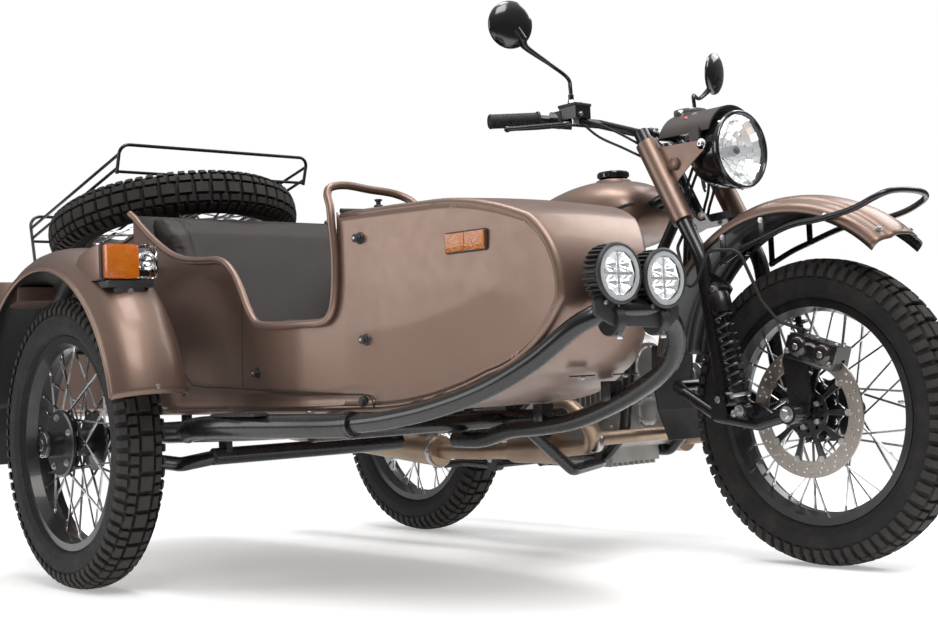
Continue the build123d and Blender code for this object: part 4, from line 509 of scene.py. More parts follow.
class Piece:
    """One mesh piece: parts are added in design millimetres, each with the index of its finish."""

    def __init__(self, name, body, *finishes, slot=None):
        self.name, self.body, self.finishes, self.slot = name, body, finishes, slot
        self.bm = bmesh.new()

    def face(self, verts, mat=0, flat=False):
        try:
            f = self.bm.faces.new(verts)
        except ValueError:
            return None
        f.material_index = mat
        f.smooth = not flat
        return f

    def rings(self, rings, mat=0, close=False, caps=False, flat=False):
        """Skin over a list of closed rings of points."""
        loops = [[self.bm.verts.new(p) for p in ring] for ring in rings]
        n = len(loops[0])
        pairs = list(zip(loops, loops[1:]))
        if close:
            pairs.append((loops[-1], loops[0]))
        for a, b in pairs:
            for k in range(n):
                self.face((a[k], a[(k + 1) % n], b[(k + 1) % n], b[k]), mat, flat)
        if caps and not close:
            self.face(loops[0][::-1], mat, True)
            self.face(loops[-1], mat, True)
        return self

    def lathe(self, profile, origin, axis, mat=0, segments=40, closed=False, flat=False):
        """Turned part: profile of (radius, distance along the axis) from origin."""
        d = Vector(axis).normalized()
        u = d.orthogonal().normalized()
        v = d.cross(u)
        o = P(*origin)
        turns = [(math.cos(t), math.sin(t)) for t in circle(segments)]
        rings = [[o + (u * c + v * s) * r / 1000 + d * h / 1000 for c, s in turns] for r, h in profile]
        return self.rings(rings, mat, close=closed, flat=flat)

    def tube(self, points, radius, mat=0, sides=10, smooth=6, caps=True):
        """Round bar along a smoothed run of design points; radius may be a list, one per point."""
        pts = [P(*p) for p in points]
        radii = radius if isinstance(radius, (list, tuple)) else [radius] * len(pts)
        if smooth > 1 and len(pts) > 2:
            out, rad = [], []
            for k in range(len(pts) - 1):
                a = pts[max(k - 1, 0)]
                b, c = pts[k], pts[k + 1]
                d = pts[min(k + 2, len(pts) - 1)]
                for m in range(smooth):
                    t = m / smooth
                    out.append(between(a, b, c, d, t))
                    rad.append(radii[k] + (radii[k + 1] - radii[k]) * t)
            out.append(pts[-1])
            rad.append(radii[-1])
            pts, radii = out, rad
        rings = []
        normal = None
        for k, p in enumerate(pts):
            d = (pts[min(k + 1, len(pts) - 1)] - pts[max(k - 1, 0)]).normalized()
            across = d.orthogonal() if normal is None else normal - d * normal.dot(d)
            normal = across.normalized()
            side = d.cross(normal)
            rings.append([p + (normal * math.cos(t) + side * math.sin(t)) * radii[k] / 1000
                          for t in circle(sides)])
        return self.rings(rings, mat, caps=caps)

    def prism(self, outline, origin, x_dir, y_dir, depth, mat=0, bevel=0.0):
        """Flat outline of (x, y) in a plane, pushed out along x cross y."""
        xd, yd = Vector(x_dir).normalized(), Vector(y_dir).normalized()
        n = xd.cross(yd)
        o = P(*origin)
        low = [self.bm.verts.new(o + (xd * x + yd * y) / 1000) for x, y in outline]
        high = [self.bm.verts.new(o + (xd * x + yd * y + n * depth) / 1000) for x, y in outline]
        count = len(outline)
        faces = [self.face(low[::-1], mat, True), self.face(high, mat, True)]
        for k in range(count):
            faces.append(self.face((low[k], low[(k + 1) % count], high[(k + 1) % count], high[k]), mat, True))
        if bevel:
            edges = {e for f in faces if f for e in f.edges}
            made = bmesh.ops.bevel(self.bm, geom=list(edges), offset=bevel / 1000, segments=2, profile=0.6,
                                   affect="EDGES", clamp_overlap=True, material=mat)
            for f in made["faces"]:
                f.material_index = mat
                f.smooth = True
        return self

    def block(self, low, high, mat=0, bevel=1.5):
        """Upright block between two design corners, its edges rounded."""
        x0, y0, z0 = low
        x1, y1, z1 = high
        foot = [(0, 0), (x1 - x0, 0), (x1 - x0, y1 - y0), (0, y1 - y0)]
        return self.prism(foot, low, X, Y, z1 - z0, mat, bevel)

    def bolt(self, place, axis, size=6.0, mat=0, height=None, washer=True):
        """Hexagon head on a washer, standing on place along axis."""
        d = Vector(axis).normalized()
        h = height or size * 0.75
        base = 0.0
        if washer:
            self.lathe([(0.1, 0.0), (size * 1.5, 0.0), (size * 1.5, 1.2), (0.1, 1.2)], place, axis, mat, 20)
            base = 1.2
        head = [(size, base), (size, base + h * 0.8), (size * 0.84, base + h), (0.1, base + h)]
        self.lathe(head, place, axis, mat, 6, flat=True)
        return self

    def cap_screw(self, place, axis, size=5.0, mat=0):
        """Round head with a hexagon socket."""
        self.lathe([(size, 0), (size, size * 0.9), (size * 0.85, size * 1.1), (size * 0.5, size * 1.1),
                    (size * 0.5, size * 0.5), (0.1, size * 0.5)], place, axis, mat, 18)
        return self

    def strips(self, rows, mat=0):
        """Open skin over rows of vertices."""
        for a, b in zip(rows, rows[1:]):
            for m in range(len(a) - 1):
                self.face((a[m], b[m], b[m + 1], a[m + 1]), mat)
        return self

    def done(self, replaces=(), auto=38):
        """Turns the parts into an object that rides on its body; auto is the angle of sharp edges."""
        bmesh.ops.remove_doubles(self.bm, verts=self.bm.verts, dist=1e-6)
        bmesh.ops.recalc_face_normals(self.bm, faces=self.bm.faces)
        mesh = bpy.data.meshes.new(self.name)
        self.bm.to_mesh(mesh)
        self.bm.free()
        mesh.set_sharp_from_angle(angle=math.radians(auto))
        ob = bpy.data.objects.new(self.name, mesh)
        bpy.context.scene.collection.objects.link(ob)
        for finish in self.finishes:
            mesh.materials.append(finish.mat)
        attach(ob, self.body)
        if replaces:
            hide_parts(*replaces)
        return ob


# ------------------------------------------------------------------ tyres
# tread rows: (low y, high y), blocks round the tyre, share of the pitch filled, share of a pitch turned
TREAD = [
    ((-15, 15), 48, 0.78, 0.0),
    ((20, 38), 72, 0.72, 0.25),
    ((-38, -20), 72, 0.72, 0.75),
    ((42, 57), 72, 0.62, 0.55),
    ((-57, -42), 72, 0.62, 0.05),
]


def crown(y):
    """Radius of the blocks' tops across the tread."""
    a = abs(y)
    return 350.0 - 0.0052 * a * a - max(0.0, a - 40.0) ** 2 * 0.055


def case(y):
    """Radius of the case under the blocks."""
    a = abs(y)
    return 338.5 - 0.0040 * a * a - max(0.0, a - 38.0) ** 2 * 0.12


def make_tyre(name):
    centre, xd, ad, zd, body = WHEELS[name]
    xd, ad, zd = Vector(xd), Vector(ad), Vector(zd)
    o = P(*centre)
    t = Piece(name + "_tyre_tread", body, rubber, slot="tyre_rubber")

    def point(y, r, a):
        return o + (xd * math.cos(a) + zd * math.sin(a)) * r / 1000 + ad * y / 1000

    half = [(33, 243.5), (33.2, 252), (33.8, 257.5), (38, 259.5), (42, 262), (43.2, 263.2), (44.4, 263),
            (49, 269),
            (52, 277), (52.9, 278.4), (53.1, 279.8), (54.4, 290), (54.6, 302), (54.8, 303.4), (53.8, 305),
            (51, 316)]
    half += [(46, case(46)), (38, case(38)), (28, case(28)), (14, case(14)), (0, case(0))]
    profile = [(-y, r) for y, r in half] + [(y, r) for y, r in reversed(half[:-1])]
    t.rings([[point(y, r, a) for y, r in profile] for a in circle(144)], close=True)
    for (y0, y1), count, fill, turn in TREAD:
        pitch = 2 * math.pi / count
        for i in range(count):
            mid = (i + turn) * pitch
            half_a = pitch * fill / 2
            if count == 72 and abs(y0) < 41 and abs(y1) < 41:
                # one long block, then two short ones
                step = i % 3
                unit = pitch * 3
                start = (i // 3 + turn) * unit
                spans = ((0.03, 0.40), (0.47, 0.68), (0.75, 0.96))
                a0, a1 = (start + unit * spans[step][0], start + unit * spans[step][1])
                mid, half_a = (a0 + a1) / 2, (a1 - a0) / 2
            lift = 0.0 if abs(y0 + y1) < 60 else 1.0
            loops = []
            for layer in range(3):
                # foot, shoulder and rounded top edge of the block
                inset = (0.0, 0.9, 2.0)[layer]
                ring = []
                for y, a_sign in ((y0, -1), (y1, -1), (y1, 1), (y0, 1)):
                    yy = y + (inset if y == y0 else -inset)
                    top = crown(yy)
                    r = (case(y) - 4, top - 1.3, top)[layer]
                    if lift and abs(y) > 50:
                        r = (309, 322, 324.5)[layer]
                    ring.append(point(yy if layer else y, r, mid + a_sign * (half_a - inset / 345)))
                loops.append(ring)
            t.rings(loops, flat=True)
            verts = t.bm.verts
            verts.ensure_lookup_table()
            t.face(verts[-4:], 0, True)
    return t.done(replaces=(name + "_tyre",), auto=24)


for wheel_name in WHEELS:
    make_tyre(wheel_name)


# ------------------------------------------------------------------ wheel fittings: nipples, rivets, hub ends
for wheel_name, (centre, xd, ad, zd, body) in WHEELS.items():
    xd, ad, zd = Vector(xd), Vector(ad), Vector(zd)
    w = Piece(wheel_name + "_wheel_fittings", body, chrome, gloss_black, steel, slot="silver_wire")

    def design(x, y, z):
        v = Vector(centre) + xd * x + ad * y + zd * z
        return (v.x, v.y, v.z)

    for i in range(36):
        flange = 1 if i % 2 == 0 else -1
        lean = 52.0 if (i // 2) % 2 == 0 else -52.0
        ra, ha = math.radians(i * 10), math.radians(i * 10 + lean)
        a = Vector((64 * math.cos(ha), flange * 33, 64 * math.sin(ha)))
        b = Vector((235 * math.cos(ra), flange * 6, 235 * math.sin(ra)))
        d = (b - a).normalized()
        foot = b - d * 17
        world_d = xd * d.x + ad * d.y + zd * d.z
        w.lathe([(0.1, 0), (3.3, 0), (3.5, 1.5), (3.5, 15), (4.4, 16), (4.4, 20)], design(*foot), world_d,
                0, 10)
        # head of the spoke at the hub flange
        w.lathe([(5.0, 0), (5.0, 1.6), (3.2, 3.0), (0.1, 3.0)], design(a.x, flange * 37, a.z),
                ad * flange, 0, 12)
    w.lathe([(13, 0), (24, 0), (26, 3), (26, 7), (13, 7)], design(0, 47, 0), ad, 1, 28)
    # valve
    va = math.radians(5)
    w.lathe([(0.1, 0), (4.0, 0), (4.0, 10), (2.8, 12), (2.8, 30)],
            design(200 * math.cos(va), 0, 200 * math.sin(va)), xd * math.cos(va) + zd * math.sin(va), 2, 12)
    if wheel_name == "sidecar":
        for a in circle(5, 0.35):
            w.bolt((LEAD + 62 * math.cos(a), -TRACK - 56, AXLE_Z + 62 * math.sin(a)), RIGHT, 6.0, 2)
        for r, h0, h1 in ((29, 96, 98), (12, 99, 101)):
            w.lathe([(r, h0), (r + 2, h0 + 1), (r, h1)], SIDE_AXLE, RIGHT, 1, 32)
    w.done()

# ------------------------------------------------------------------ front brake


def plate(name, outer, holes, depth, y, finish, body, bevel=0.4, replaces=()):
    """Flat plate with holes, facing sideways: outlines are lists of (x, z) or (x, z, radius) circles."""
    data = bpy.data.curves.new(name, "CURVE")
    data.dimensions = "2D"
    data.fill_mode = "BOTH"
    data.extrude = depth / 2000
    data.bevel_depth = bevel / 1000
    data.bevel_resolution = 1
    data.resolution_u = 6
    for item in [outer] + holes:
        if isinstance(item, tuple):
            x, z, r = item
            count = 96 if r > 60 else (24 if r > 12 else 10)
            ring = [(x + r * math.cos(a), z + r * math.sin(a)) for a in circle(count)]
        else:
            ring = item
        spline = data.splines.new("POLY")
        spline.points.add(len(ring) - 1)
        for pt, (x, z) in zip(spline.points, ring):
            pt.co = ((x - MID_X) / 1000, z / 1000, 0, 1)
        spline.use_cyclic_u = True
    ob = bpy.data.objects.new(name, data)
    upright = Matrix.Rotation(math.pi / 2, 4, "X")
    ob.matrix_world = Matrix.Translation(Vector((0, (y - MID_Y) / 1000, 0))) @ upright
    bpy.context.scene.collection.objects.link(ob)
    bpy.context.view_layer.update()
    mesh = bpy.data.meshes.new_from_object(ob.evaluated_get(bpy.context.evaluated_depsgraph_get()))
    mesh.transform(ob.matrix_world)
    bpy.data.objects.remove(ob)
    out = bpy.data.objects.new(name, mesh)
    bpy.context.scene.collection.objects.link(out)
    mesh.materials.clear()
    mesh.materials.append(finish.mat)
    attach(out, body)
    if replaces:
        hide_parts(*replaces)
    return out


holes = [(WHEELBASE, AXLE_Z, 110.5)]
for i, a in enumerate(circle(40)):
    for r, turn in ((119, 0.0), (128, 0.5), (137, 0.15)):
        if (i + (1 if r == 128 else 0)) % 2 == 0 or r == 137:
            b = a + turn * 2 * math.pi / 40
            holes.append((WHEELBASE + r * math.cos(b), AXLE_Z + r * math.sin(b), 3.1))
plate("front_rotor_ring", (WHEELBASE, AXLE_Z, 147.4), holes, 4.2, DISC_Y, rotor, "front_wheel_set",
      replaces=("front_disc",))
arms = []
for a0 in circle(10):
    for da, r in ((-0.085, 57), (-0.075, 96), (-0.085, 112), (0.085, 112), (0.075, 96), (0.085, 57),
                  (0.2, 54.5), (0.43, 54.5)):
        arms.append((WHEELBASE + r * math.cos(a0 + da), AXLE_Z + r * math.sin(a0 + da)))
windows = [(WHEELBASE, AXLE_Z, 15.6)]
windows += [(WHEELBASE + 41 * math.cos(a), AXLE_Z + 41 * math.sin(a), 5.0) for a in circle(10, 0.5)]
plate("front_rotor_carrier", arms, windows, 5.4, DISC_Y, gloss_black, "front_wheel_set")
b = Piece("front_rotor_buttons", "front_wheel_set", steel, gloss_black, slot="silver_wire")
for a in circle(10):
    b.lathe([(0.1, 0), (4.0, 0), (4.4, 1), (7.6, 1), (8.0, 0), (8.0, -9), (7.6, -10), (0.1, -10)],
            (WHEELBASE + 110 * math.cos(a), -61.5, AXLE_Z + 110 * math.sin(a)), RIGHT, 0, 20)
for a in circle(5, 0.5):
    b.cap_screw((WHEELBASE + 34 * math.cos(a), -59.7, AXLE_Z + 34 * math.sin(a)), RIGHT, 6.5, 0)
b.lathe([(15.6, 0), (44, 0), (44, 8.5), (50, 9), (50, -0.4)], (WHEELBASE, -48.4, AXLE_Z), RIGHT, 1, 48)
b.done()

# caliper over its plain block: bosses, bridge bolts, pads' ends
cal_x = Vector((math.cos(math.radians(-18)), 0, math.sin(math.radians(-18))))
cal_z = Vector((-cal_x.z, 0, cal_x.x))


def cal(u, y, v):
    p = Vector((1542, y, 487)) + cal_x * u + cal_z * v
    return (p.x, p.y, p.z)


c = Piece("caliper_details", "fork_assembly", gloss_black, steel, soft_rubber, slot="black_paint")
outline = [(-67, -22), (-60, -29), (60, -29), (67, -22), (67, 20), (52, 29), (12, 29), (8, 24), (-8, 24),
           (-12, 29), (-52, 29), (-67, 20)]
p0 = cal(0, -89.5, 0)
c.prism(outline, p0, cal_x, cal_z, 6.5, 0, 2.0)
for u in (-34, 34):
    c.lathe([(24, 0), (23, 5), (19, 8.5), (12, 9.5), (0.1, 9.5)], cal(u, -96, 2), RIGHT, 0, 32)
    c.lathe([(8, 9.5), (7, 10.6), (0.1, 10.6)], cal(u, -96, 2), RIGHT, 1, 6, flat=True)
for u in (-58, 58):
    c.cap_screw(cal(u, -96, -14), RIGHT, 6.5, 1)
for u in (-50, -2, 50):
    c.bolt(cal(u, -74, 27.5), cal_z, 5.5, 1)
c.bolt(cal(60, -60, 22), cal_z, 4.5, 1, height=14, washer=False)
c.tube([cal(-20, -95.5, 10), cal(0, -98, 17), cal(20, -95.5, 10)], 3, 1, 8)
# link and fork bolts: x, y, z and size
for x, y, z, size in ((1303, 125, 385, 9), (1382, 153, 360, 9), (WHEELBASE, 134, AXLE_Z, 12)):
    for s in SIDES:
        c.bolt((x, s * y, z), (0, s, 0), size, 1, height=9)
for s in SIDES:
    c.bolt((1326, s * 151, 642), (0, s, 0), 8.5, 1, height=8)
for x, y, z in ((1275, 113.2, 668), (1277, 113.2, 632), (1340, 122, 352), (1352, 122, 398)):
    for s in SIDES:
        c.bolt((x, s * y, z), (0, s, 0), 6, 1)
c.done()

# ------------------------------------------------------------------ shock absorbers
collar = Finish("spring_collar_alloy", (0.50, 0.50, 0.51), 0.95, 0.3)
collar.patches(60, 3, 0.45, 0.75, (0.34, 0.33, 0.32), 0.5)
collar.vary_rough(120, 3, 0.22, 0.4)
pale = Finish("pale_mark", (0.60, 0.58, 0.52), 0.0, 0.5)
pale.mottle(60, 3, (0.48, 0.46, 0.42), 0.4)
pale.vary_rough(90, 3, 0.4, 0.6)


def shock(piece, foot, head, wire, coil_r, turns, can_r):
    """Coil over damper between two design points."""
    foot, head = Vector(foot), Vector(head)
    run = head - foot
    length = run.length
    axis = run.normalized()
    u = axis.orthogonal().normalized()
    v = axis.cross(u)
    low, high = 0.15 * length, 0.80 * length
    pts = []
    steps = int(turns * 16)
    for k in range(steps + 1):
        t = k / steps
        # the end turns lie close together
        h = low + (high - low) * (t + 0.035 * math.sin(2 * math.pi * t))
        a = 2 * math.pi * turns * t
        q = foot + axis * h + (u * math.cos(a) + v * math.sin(a)) * coil_r
        pts.append(tuple(q))
    piece.tube(pts, wire, 0, 8, 1)
    f = tuple(foot)
    piece.lathe([(0.1, 20), (15.5, 20), (16, 22), (16, 70), (13, 72), (13, 76), (8.2, 78),
                 (8.2, high - 8)], f, axis, 0, 32)
    piece.lathe([(11, low - 12), (coil_r + 3, low - 12), (coil_r + 4, low - 9), (coil_r + 4, low - 4),
                 (11, low - 4)], f, axis, 1, 36)
    piece.lathe([(coil_r + 4.5, high + 2), (coil_r + 4.5, high + 6), (can_r, high + 8), (can_r, length - 16),
                 (can_r - 5, length - 8), (0.1, length - 6)], f, axis, 0, 36)
    piece.lathe([(8, high - 6), (coil_r + 4.5, high + 2)], f, axis, 0, 36)
    return piece


for stem, body, foot, head, y, inner, wire, coil_r, turns, can_r in (
    ("front_shock_units", "fork_assembly", (1382, 360), (1326, 642), 138, 113.3, 3.8, 19.8, 9, 24.5),
    ("rear_shock_units", "chassis", (-4, 372), (56, 700), 152, 121.3, 4.0, 20.0, 10, 24.5),
):
    sh = Piece(stem, body, black, collar, steel, pale, slot="black_paint")
    for s in SIDES:
        shock(sh, (foot[0], s * y, foot[1]), (head[0], s * y, head[1]), wire, coil_r, turns, can_r)
        for x, z in (foot, head):
            sh.lathe([(0.1, -1), (17, -1), (17, 25), (14, 27), (8, 27)], (x, s * (y - 13), z), (0, s, 0),
                     0, 28)
            sh.lathe([(0.1, 0), (12, 0), (12, y - 13 - inner)], (x, s * inner, z), (0, s, 0), 0, 24)
    sh.done(replaces=(stem.split("_")[0] + "_shocks",))

# ------------------------------------------------------------------ headlamp
def reflector(piece, centre, axis, radius, depth, mat, facets=22, rows=6, x_dir=None):
    """Bowl of flat facets behind a lamp's lens."""
    d = Vector(axis).normalized()
    u = Vector(x_dir).normalized() if x_dir else d.orthogonal().normalized()
    v = d.cross(u)
    o = P(*centre)
    for row in range(rows):
        r0, r1 = radius * row / rows, radius * (row + 1) / rows
        for k in range(facets):
            step = (0.0, 1.6)[(k + row) % 2]
            quad = []
            for r, a in ((r0, k), (r1, k), (r1, k + 1), (r0, k + 1)):
                t = 2 * math.pi * (a + 0.5 * (row % 2)) / facets
                h = -depth * (1 - (r / radius) ** 2) + step
                out = (u * math.cos(t) + v * math.sin(t)) * max(r, 0.3)
                quad.append(piece.bm.verts.new(o + (out + d * h) / 1000))
            piece.face(quad, mat, True)
    return piece


# middle of the headlamp's glass
LAMP_X, LAMP_Z = 1308, 982
h = Piece("headlamp_bucket", "fork_assembly", gloss_black, lamp_chrome, chrome, steel, slot="black_paint")
h.lathe([(0.1, -128), (42, -128), (58, -118), (70, -104), (80, -84), (87, -62), (90.5, -40), (91, -18),
         (93.5, -16),
         (95, -13), (95.6, -4), (95, 0), (92.5, 2.4), (88.5, 2.2), (86, 0), (85.4, -4), (85.4, -14)],
        (LAMP_X, 0, LAMP_Z), X, 0, 72)
reflector(h, (LAMP_X - 14, 0, LAMP_Z), X, 85.4, 52, 1, 26, 7, Z)
h.lathe([(0.1, -16), (10, -18), (13, -24), (13, -58)], (LAMP_X, 0, LAMP_Z), X, 2, 28)
for a in (40, 140, 270):
    t = math.radians(a)
    h.cap_screw((LAMP_X - 6, 94 * math.cos(t), LAMP_Z + 94 * math.sin(t)),
                (0.3, math.cos(t), math.sin(t)), 3.5, 3)
for s in SIDES:
    h.lathe([(0.1, 0), (11, 0), (11, 18)], (LAMP_X - 52, s * 82, LAMP_Z), (0, s, 0), 0, 20)
h.done(replaces=("headlamp",))
g = Piece("headlamp_glass", "fork_assembly", glass, slot="clear_glass")
g.lathe([(85, -5), (85, -1), (80, 2.0), (60, 5.6), (35, 7.6), (0.1, 8)], (LAMP_X, 0, LAMP_Z), X, 0, 64)
g.lathe([(85, -5), (79, -1.6), (60, 2.4), (35, 4.6), (0.1, 5)], (LAMP_X, 0, LAMP_Z), X, 0, 64)
g.done(replaces=("headlamp_lens",))

# ------------------------------------------------------------------ twin driving lamps on the crash bar
# y and z of their middles
DRIVING_LAMPS = [(-850.0, 640.0), (-730.0, 632.0)]
ring_white = Finish("lamp_ring_frosted", (0.82, 0.84, 0.86), 0.0, 0.35)
ring_white.mottle(60, 2, (0.72, 0.75, 0.78), 0.5)
ring_white.set("Coat Weight", 0.6)
ring_white.vary_rough(80, 2, 0.25, 0.4)
tw = Piece("driving_lamp_bodies", "chassis", plastic, twin_chrome, ring_white, steel, gloss_black,
           slot="black_plastic")
tg = Piece("driving_lamp_glass", "chassis", glass, slot="clear_glass")
for y, z in DRIVING_LAMPS:
    o = (1700, y, z)
    tw.lathe([(0.1, -44), (36, -44), (44, -40), (46, -12), (50, -9), (54, -6), (56.5, -3), (56.5, 1),
              (54, 4), (51.5, 4.6), (50.5, 2)], o, X, 0, 56)
    # cooling ribs round the back
    for t in circle(30):
        d = Vector((0, math.cos(t), math.sin(t)))
        q = Vector(o) + d * 43
        side = Vector(X).cross(d)
        tw.prism([(-44, 0), (-9, 0), (-9, 11), (-36, 12.5), (-44, 9)], tuple(q - side * 1.3), X, d, -2.6, 0)
    tw.lathe([(50.6, 2), (47, 3.4), (41.5, 3.2), (40, 0.8)], o, X, 2, 56)
    reflector(tw, (1700 - 3, y, z), X, 41, 30, 1, 10, 4, Z)
    # cross bars and the small cups between them
    tw.prism([(-40, -3), (40, -3), (40, 3), (-40, 3)], (1700 - 14, y, z), Y, Z, 10, 1, 1.0)
    tw.prism([(-3, -38), (3, -38), (3, 38), (-3, 38)], (1700 - 12, y, z), Y, Z, 9, 1, 1.0)
    for dy, dz in ((-17, 16), (17, 16), (-17, -16), (17, -16)):
        tw.lathe([(0.1, -16), (7, -12), (12, -4), (13.5, -2), (12, -4)], (1700 - 3, y + dy, z + dz), X, 1, 16)
    tg.lathe([(50, -1), (49.5, 3.2), (42, 4.6), (20, 6.0), (0.1, 6.2)], o, X, 0, 48)
    tg.lathe([(50, -1), (42, 2.0), (20, 3.6), (0.1, 3.8)], o, X, 0, 48)
    # foot and its clamp screw
    tw.prism([(-22, -62), (22, -62), (24, -50), (16, -40), (-16, -40), (-24, -50)], (1664, y, z), Y, Z,
             22, 0, 1.5)
    tw.cap_screw((1690, y - 30, z - 52), X, 4.5, 3)
# bracket plate between the lamps and the bar
tw.prism([(-905, 0), (-905, 22), (-884, 34), (-826, 34), (-806, 12), (-776, 10), (-756, 30), (-700, 28),
          (-684, 14), (-684, -4), (-712, -26), (-860, -20)], (1682, 0, 566), Y, Z, 8, 0, 1.5)
for y in (-846, -730):
    tw.tube([(1689, y, 528), (1689, y, 584)], 3.4, 3, 10, 1)
    tw.cap_screw((1689, y, 528), (0, 0, -1), 6.0, 3)
    tw.lathe([(0.1, 0), (27, 0), (29, 2), (29, 18), (27, 20), (0.1, 20)], (1672, y - 10, 556), Y, 0, 32)
tw.done(replaces=("twin_lamps",))
tg.done()

# ------------------------------------------------------------------ mudguard and tail lamps, side reflector
m = Piece("mudguard_lamp_housings", "chassis", bronze, plastic, steel, mirror_face, slot="bronze_paint")
m.prism([(404, 752), (432, 782), (520, 799), (534, 798), (534, 718), (446, 718)], (0, -1172, 0), X, Z,
        128, 0, 3.0)
m.block((534, -1298, 716), (540, -1168, 800), 1, 1.5)
m.prism([(420, 700), (556, 700), (560, 716), (420, 716)], (0, -1180, 0), X, Z, 110, 1, 2.0)
m.prism([(500, 682), (552, 686), (556, 702), (470, 702)], (0, -1200, 0), X, Z, 70, 1, 2.0)
m.bolt((553, -1235, 693), (1, 0, 0.1), 5.0, 2)
m.block((539.5, -1290, 722), (541, -1174, 794), 3, 0.3)
m.lathe([(0.1, -2), (12, 0), (19, 6), (21, 12)], (543, -1193, 760), X, 3, 24)
m.prism([(10, 706), (20, 742), (-110, 764), (-190, 764), (-190, 690), (-60, 690)], (0, -1182, 0), X, Z,
        96, 0, 3.0)
m.block((-196, -1280, 687), (-190, -1180, 767), 1, 1.5)
for y, z in ((-1286, 729), (-1176, 788)):
    m.cap_screw((565, y, z), X, 3.0, 2)
m.block((-346, -44, 562), (-262, 44, 638), 1, 5.0)
for y in (-34, 34):
    m.cap_screw((-351.5, y, 600), BACK, 2.8, 2)
# bezel of the reflector on the tub's side
side_x = (0.9922, 0.1245, 0)
m.prism([(-55, -17), (-51, -21), (51, -21), (55, -17), (55, 17), (51, 21), (-51, 21), (-55, 17)],
        (1406, -954.8, 724), side_x, Z, 8, 1, 2.0)
m.done(replaces=("marker_lamps",))
ml = Piece("amber_lenses", "chassis", amber, slot="amber_plastic")
ml.block((541, -1296, 719), (567, -1216, 797), 0, 8.0)
for u in (-25.5, 25.5):
    base = Vector((1406, -954.8, 724)) + Vector(side_x) * u + Vector((0.1245, -0.9922, 0)) * 7
    ml.prism([(-25.4, -18), (25.4, -18), (25.4, 18), (-25.4, 18)], tuple(base), side_x, Z, 4.5, 0, 1.5)
ml.done()
mc = Piece("clear_side_lens", "chassis", glass, slot="clear_glass")
mc.block((541, -1215.5, 719), (565, -1169, 797), 0, 8.0)
mc.done()
mr = Piece("tail_lenses", "chassis", red_lens, slot="amber_plastic")
mr.block((-209, -1278, 690), (-196, -1182, 764), 0, 4.0)
mr.block((-353, -40, 566), (-345, 40, 634), 0, 3.5)
mr.done()

# ------------------------------------------------------------------ mirrors
mi = Piece("mirror_heads", "fork_assembly", gloss_black, mirror_face, black, steel, slot="black_plastic")
for s, o, joint, mid in ((-1, (938, -400, 1316), (950, -360, 1262), (962, -296, 1226)),
                         (1, (896, 400, 1286), (898, 374, 1237), (910, 318, 1206))):
    n = Vector((-0.94, -s * 0.3, 0.1)).normalized()
    mi.lathe([(0.1, 0.2), (54.5, 0.2)], o, n, 1, 56)
    mi.lathe([(54.5, 0.2), (55, 1.6), (57.4, 1.4), (58.2, 0), (58.2, -3), (56.5, -7), (49, -12),
              (36, -17), (18, -20), (0.1, -20.5)], o, n, 0, 56)
    back = Vector(o) - n * 14
    mi.tube([(966, s * 232, 1126), (965.5, s * 232, 1168), (961, s * 236, 1198), mid, joint,
             tuple(Vector(joint).lerp(back, 0.35)), tuple(Vector(joint).lerp(back, 0.8))],
            [5, 5, 5, 5, 8, 14, 12], 2, 16, 6)
    mi.lathe([(9, 0), (9, 14), (7, 17), (5, 17)], (966, s * 232, 1124.5), Z, 3, 6, flat=True)
    mi.lathe([(7, 17), (7, 30), (5, 32)], (966, s * 232, 1124.5), Z, 2, 20)
mi.done(replaces=("mirrors",))

# ------------------------------------------------------------------ handlebar fittings
hb = Piece("handlebar_fittings", "fork_assembly", soft_rubber, gloss_black, steel, plastic, chrome,
           slot="black_plastic")
for s in SIDES:
    a = Vector((849.5, s * 397, 1093.3))
    b = Vector((902.5, s * 285, 1098.7))
    d = (b - a).normalized()
    prof = [(11, -7), (16, -6.5), (18.6, -4), (18.6, 0), (17.2, 1)]
    run = (b - a).length
    count = 18
    for k in range(count):
        h = 3 + (run - 12) * k / count
        step = (run - 12) / count
        prof += [(17.2, h), (18.2, h + step * 0.2), (18.2, h + step * 0.6), (17.2, h + step * 0.8)]
    prof += [(17.2, run - 8), (20.5, run - 6), (20.5, run), (11.2, run + 1)]
    hb.lathe(prof, tuple(a), d, 0, 32)
    # lever blade, its pivot and ball end
    hb.tube([(985, s * 236, 1086), (966, s * 262, 1078), (934, s * 322, 1071), (905, s * 388, 1066)],
            [7, 7.6, 6.4, 4.8], 1, 12, 5)
    hb.lathe([(0.1, -8), (4, -7.2), (7, -4.5), (8.2, 0), (7, 4.5), (4, 7.2), (0.1, 8)],
             (903, s * 393, 1066), (-0.4, s, 0), 1, 20)
    hb.lathe([(10, -10), (11, -9), (11, 9), (10, 10), (0.1, 10)], (983, s * 238, 1086), Z, 2, 20)
    # switch block with its buttons
    hb.block((912, s * 243 - 18, 1076), (956, s * 243 + 18, 1116), 3, 6.0)
    for dx, dz, m_i in ((-8, 8, 0), (8, 10, 1), (0, -8, 0)):
        hb.lathe([(5, 0), (5, 3), (4, 4), (0.1, 4)], (914, s * 243 + dx, 1096 + dz), (-1, 0, 0.05), m_i, 14)
    # reservoir and its lid over the lever clamp
    hb.block((946, s * 232 - 29, 1120), (1008, s * 232 + 29, 1128), 3, 2.5)
    for dx in (-24, 24):
        hb.cap_screw((977 + dx, s * 232, 1128), Z, 3.2, 2)
    hb.bolt((1006, s * 240, 1100), X, 4.5, 2)
    # clamps of the risers
    for y in (39, 57):
        hb.cap_screw((1070, s * y, 1064), (0.5, 0, 0.85), 4.5, 2)
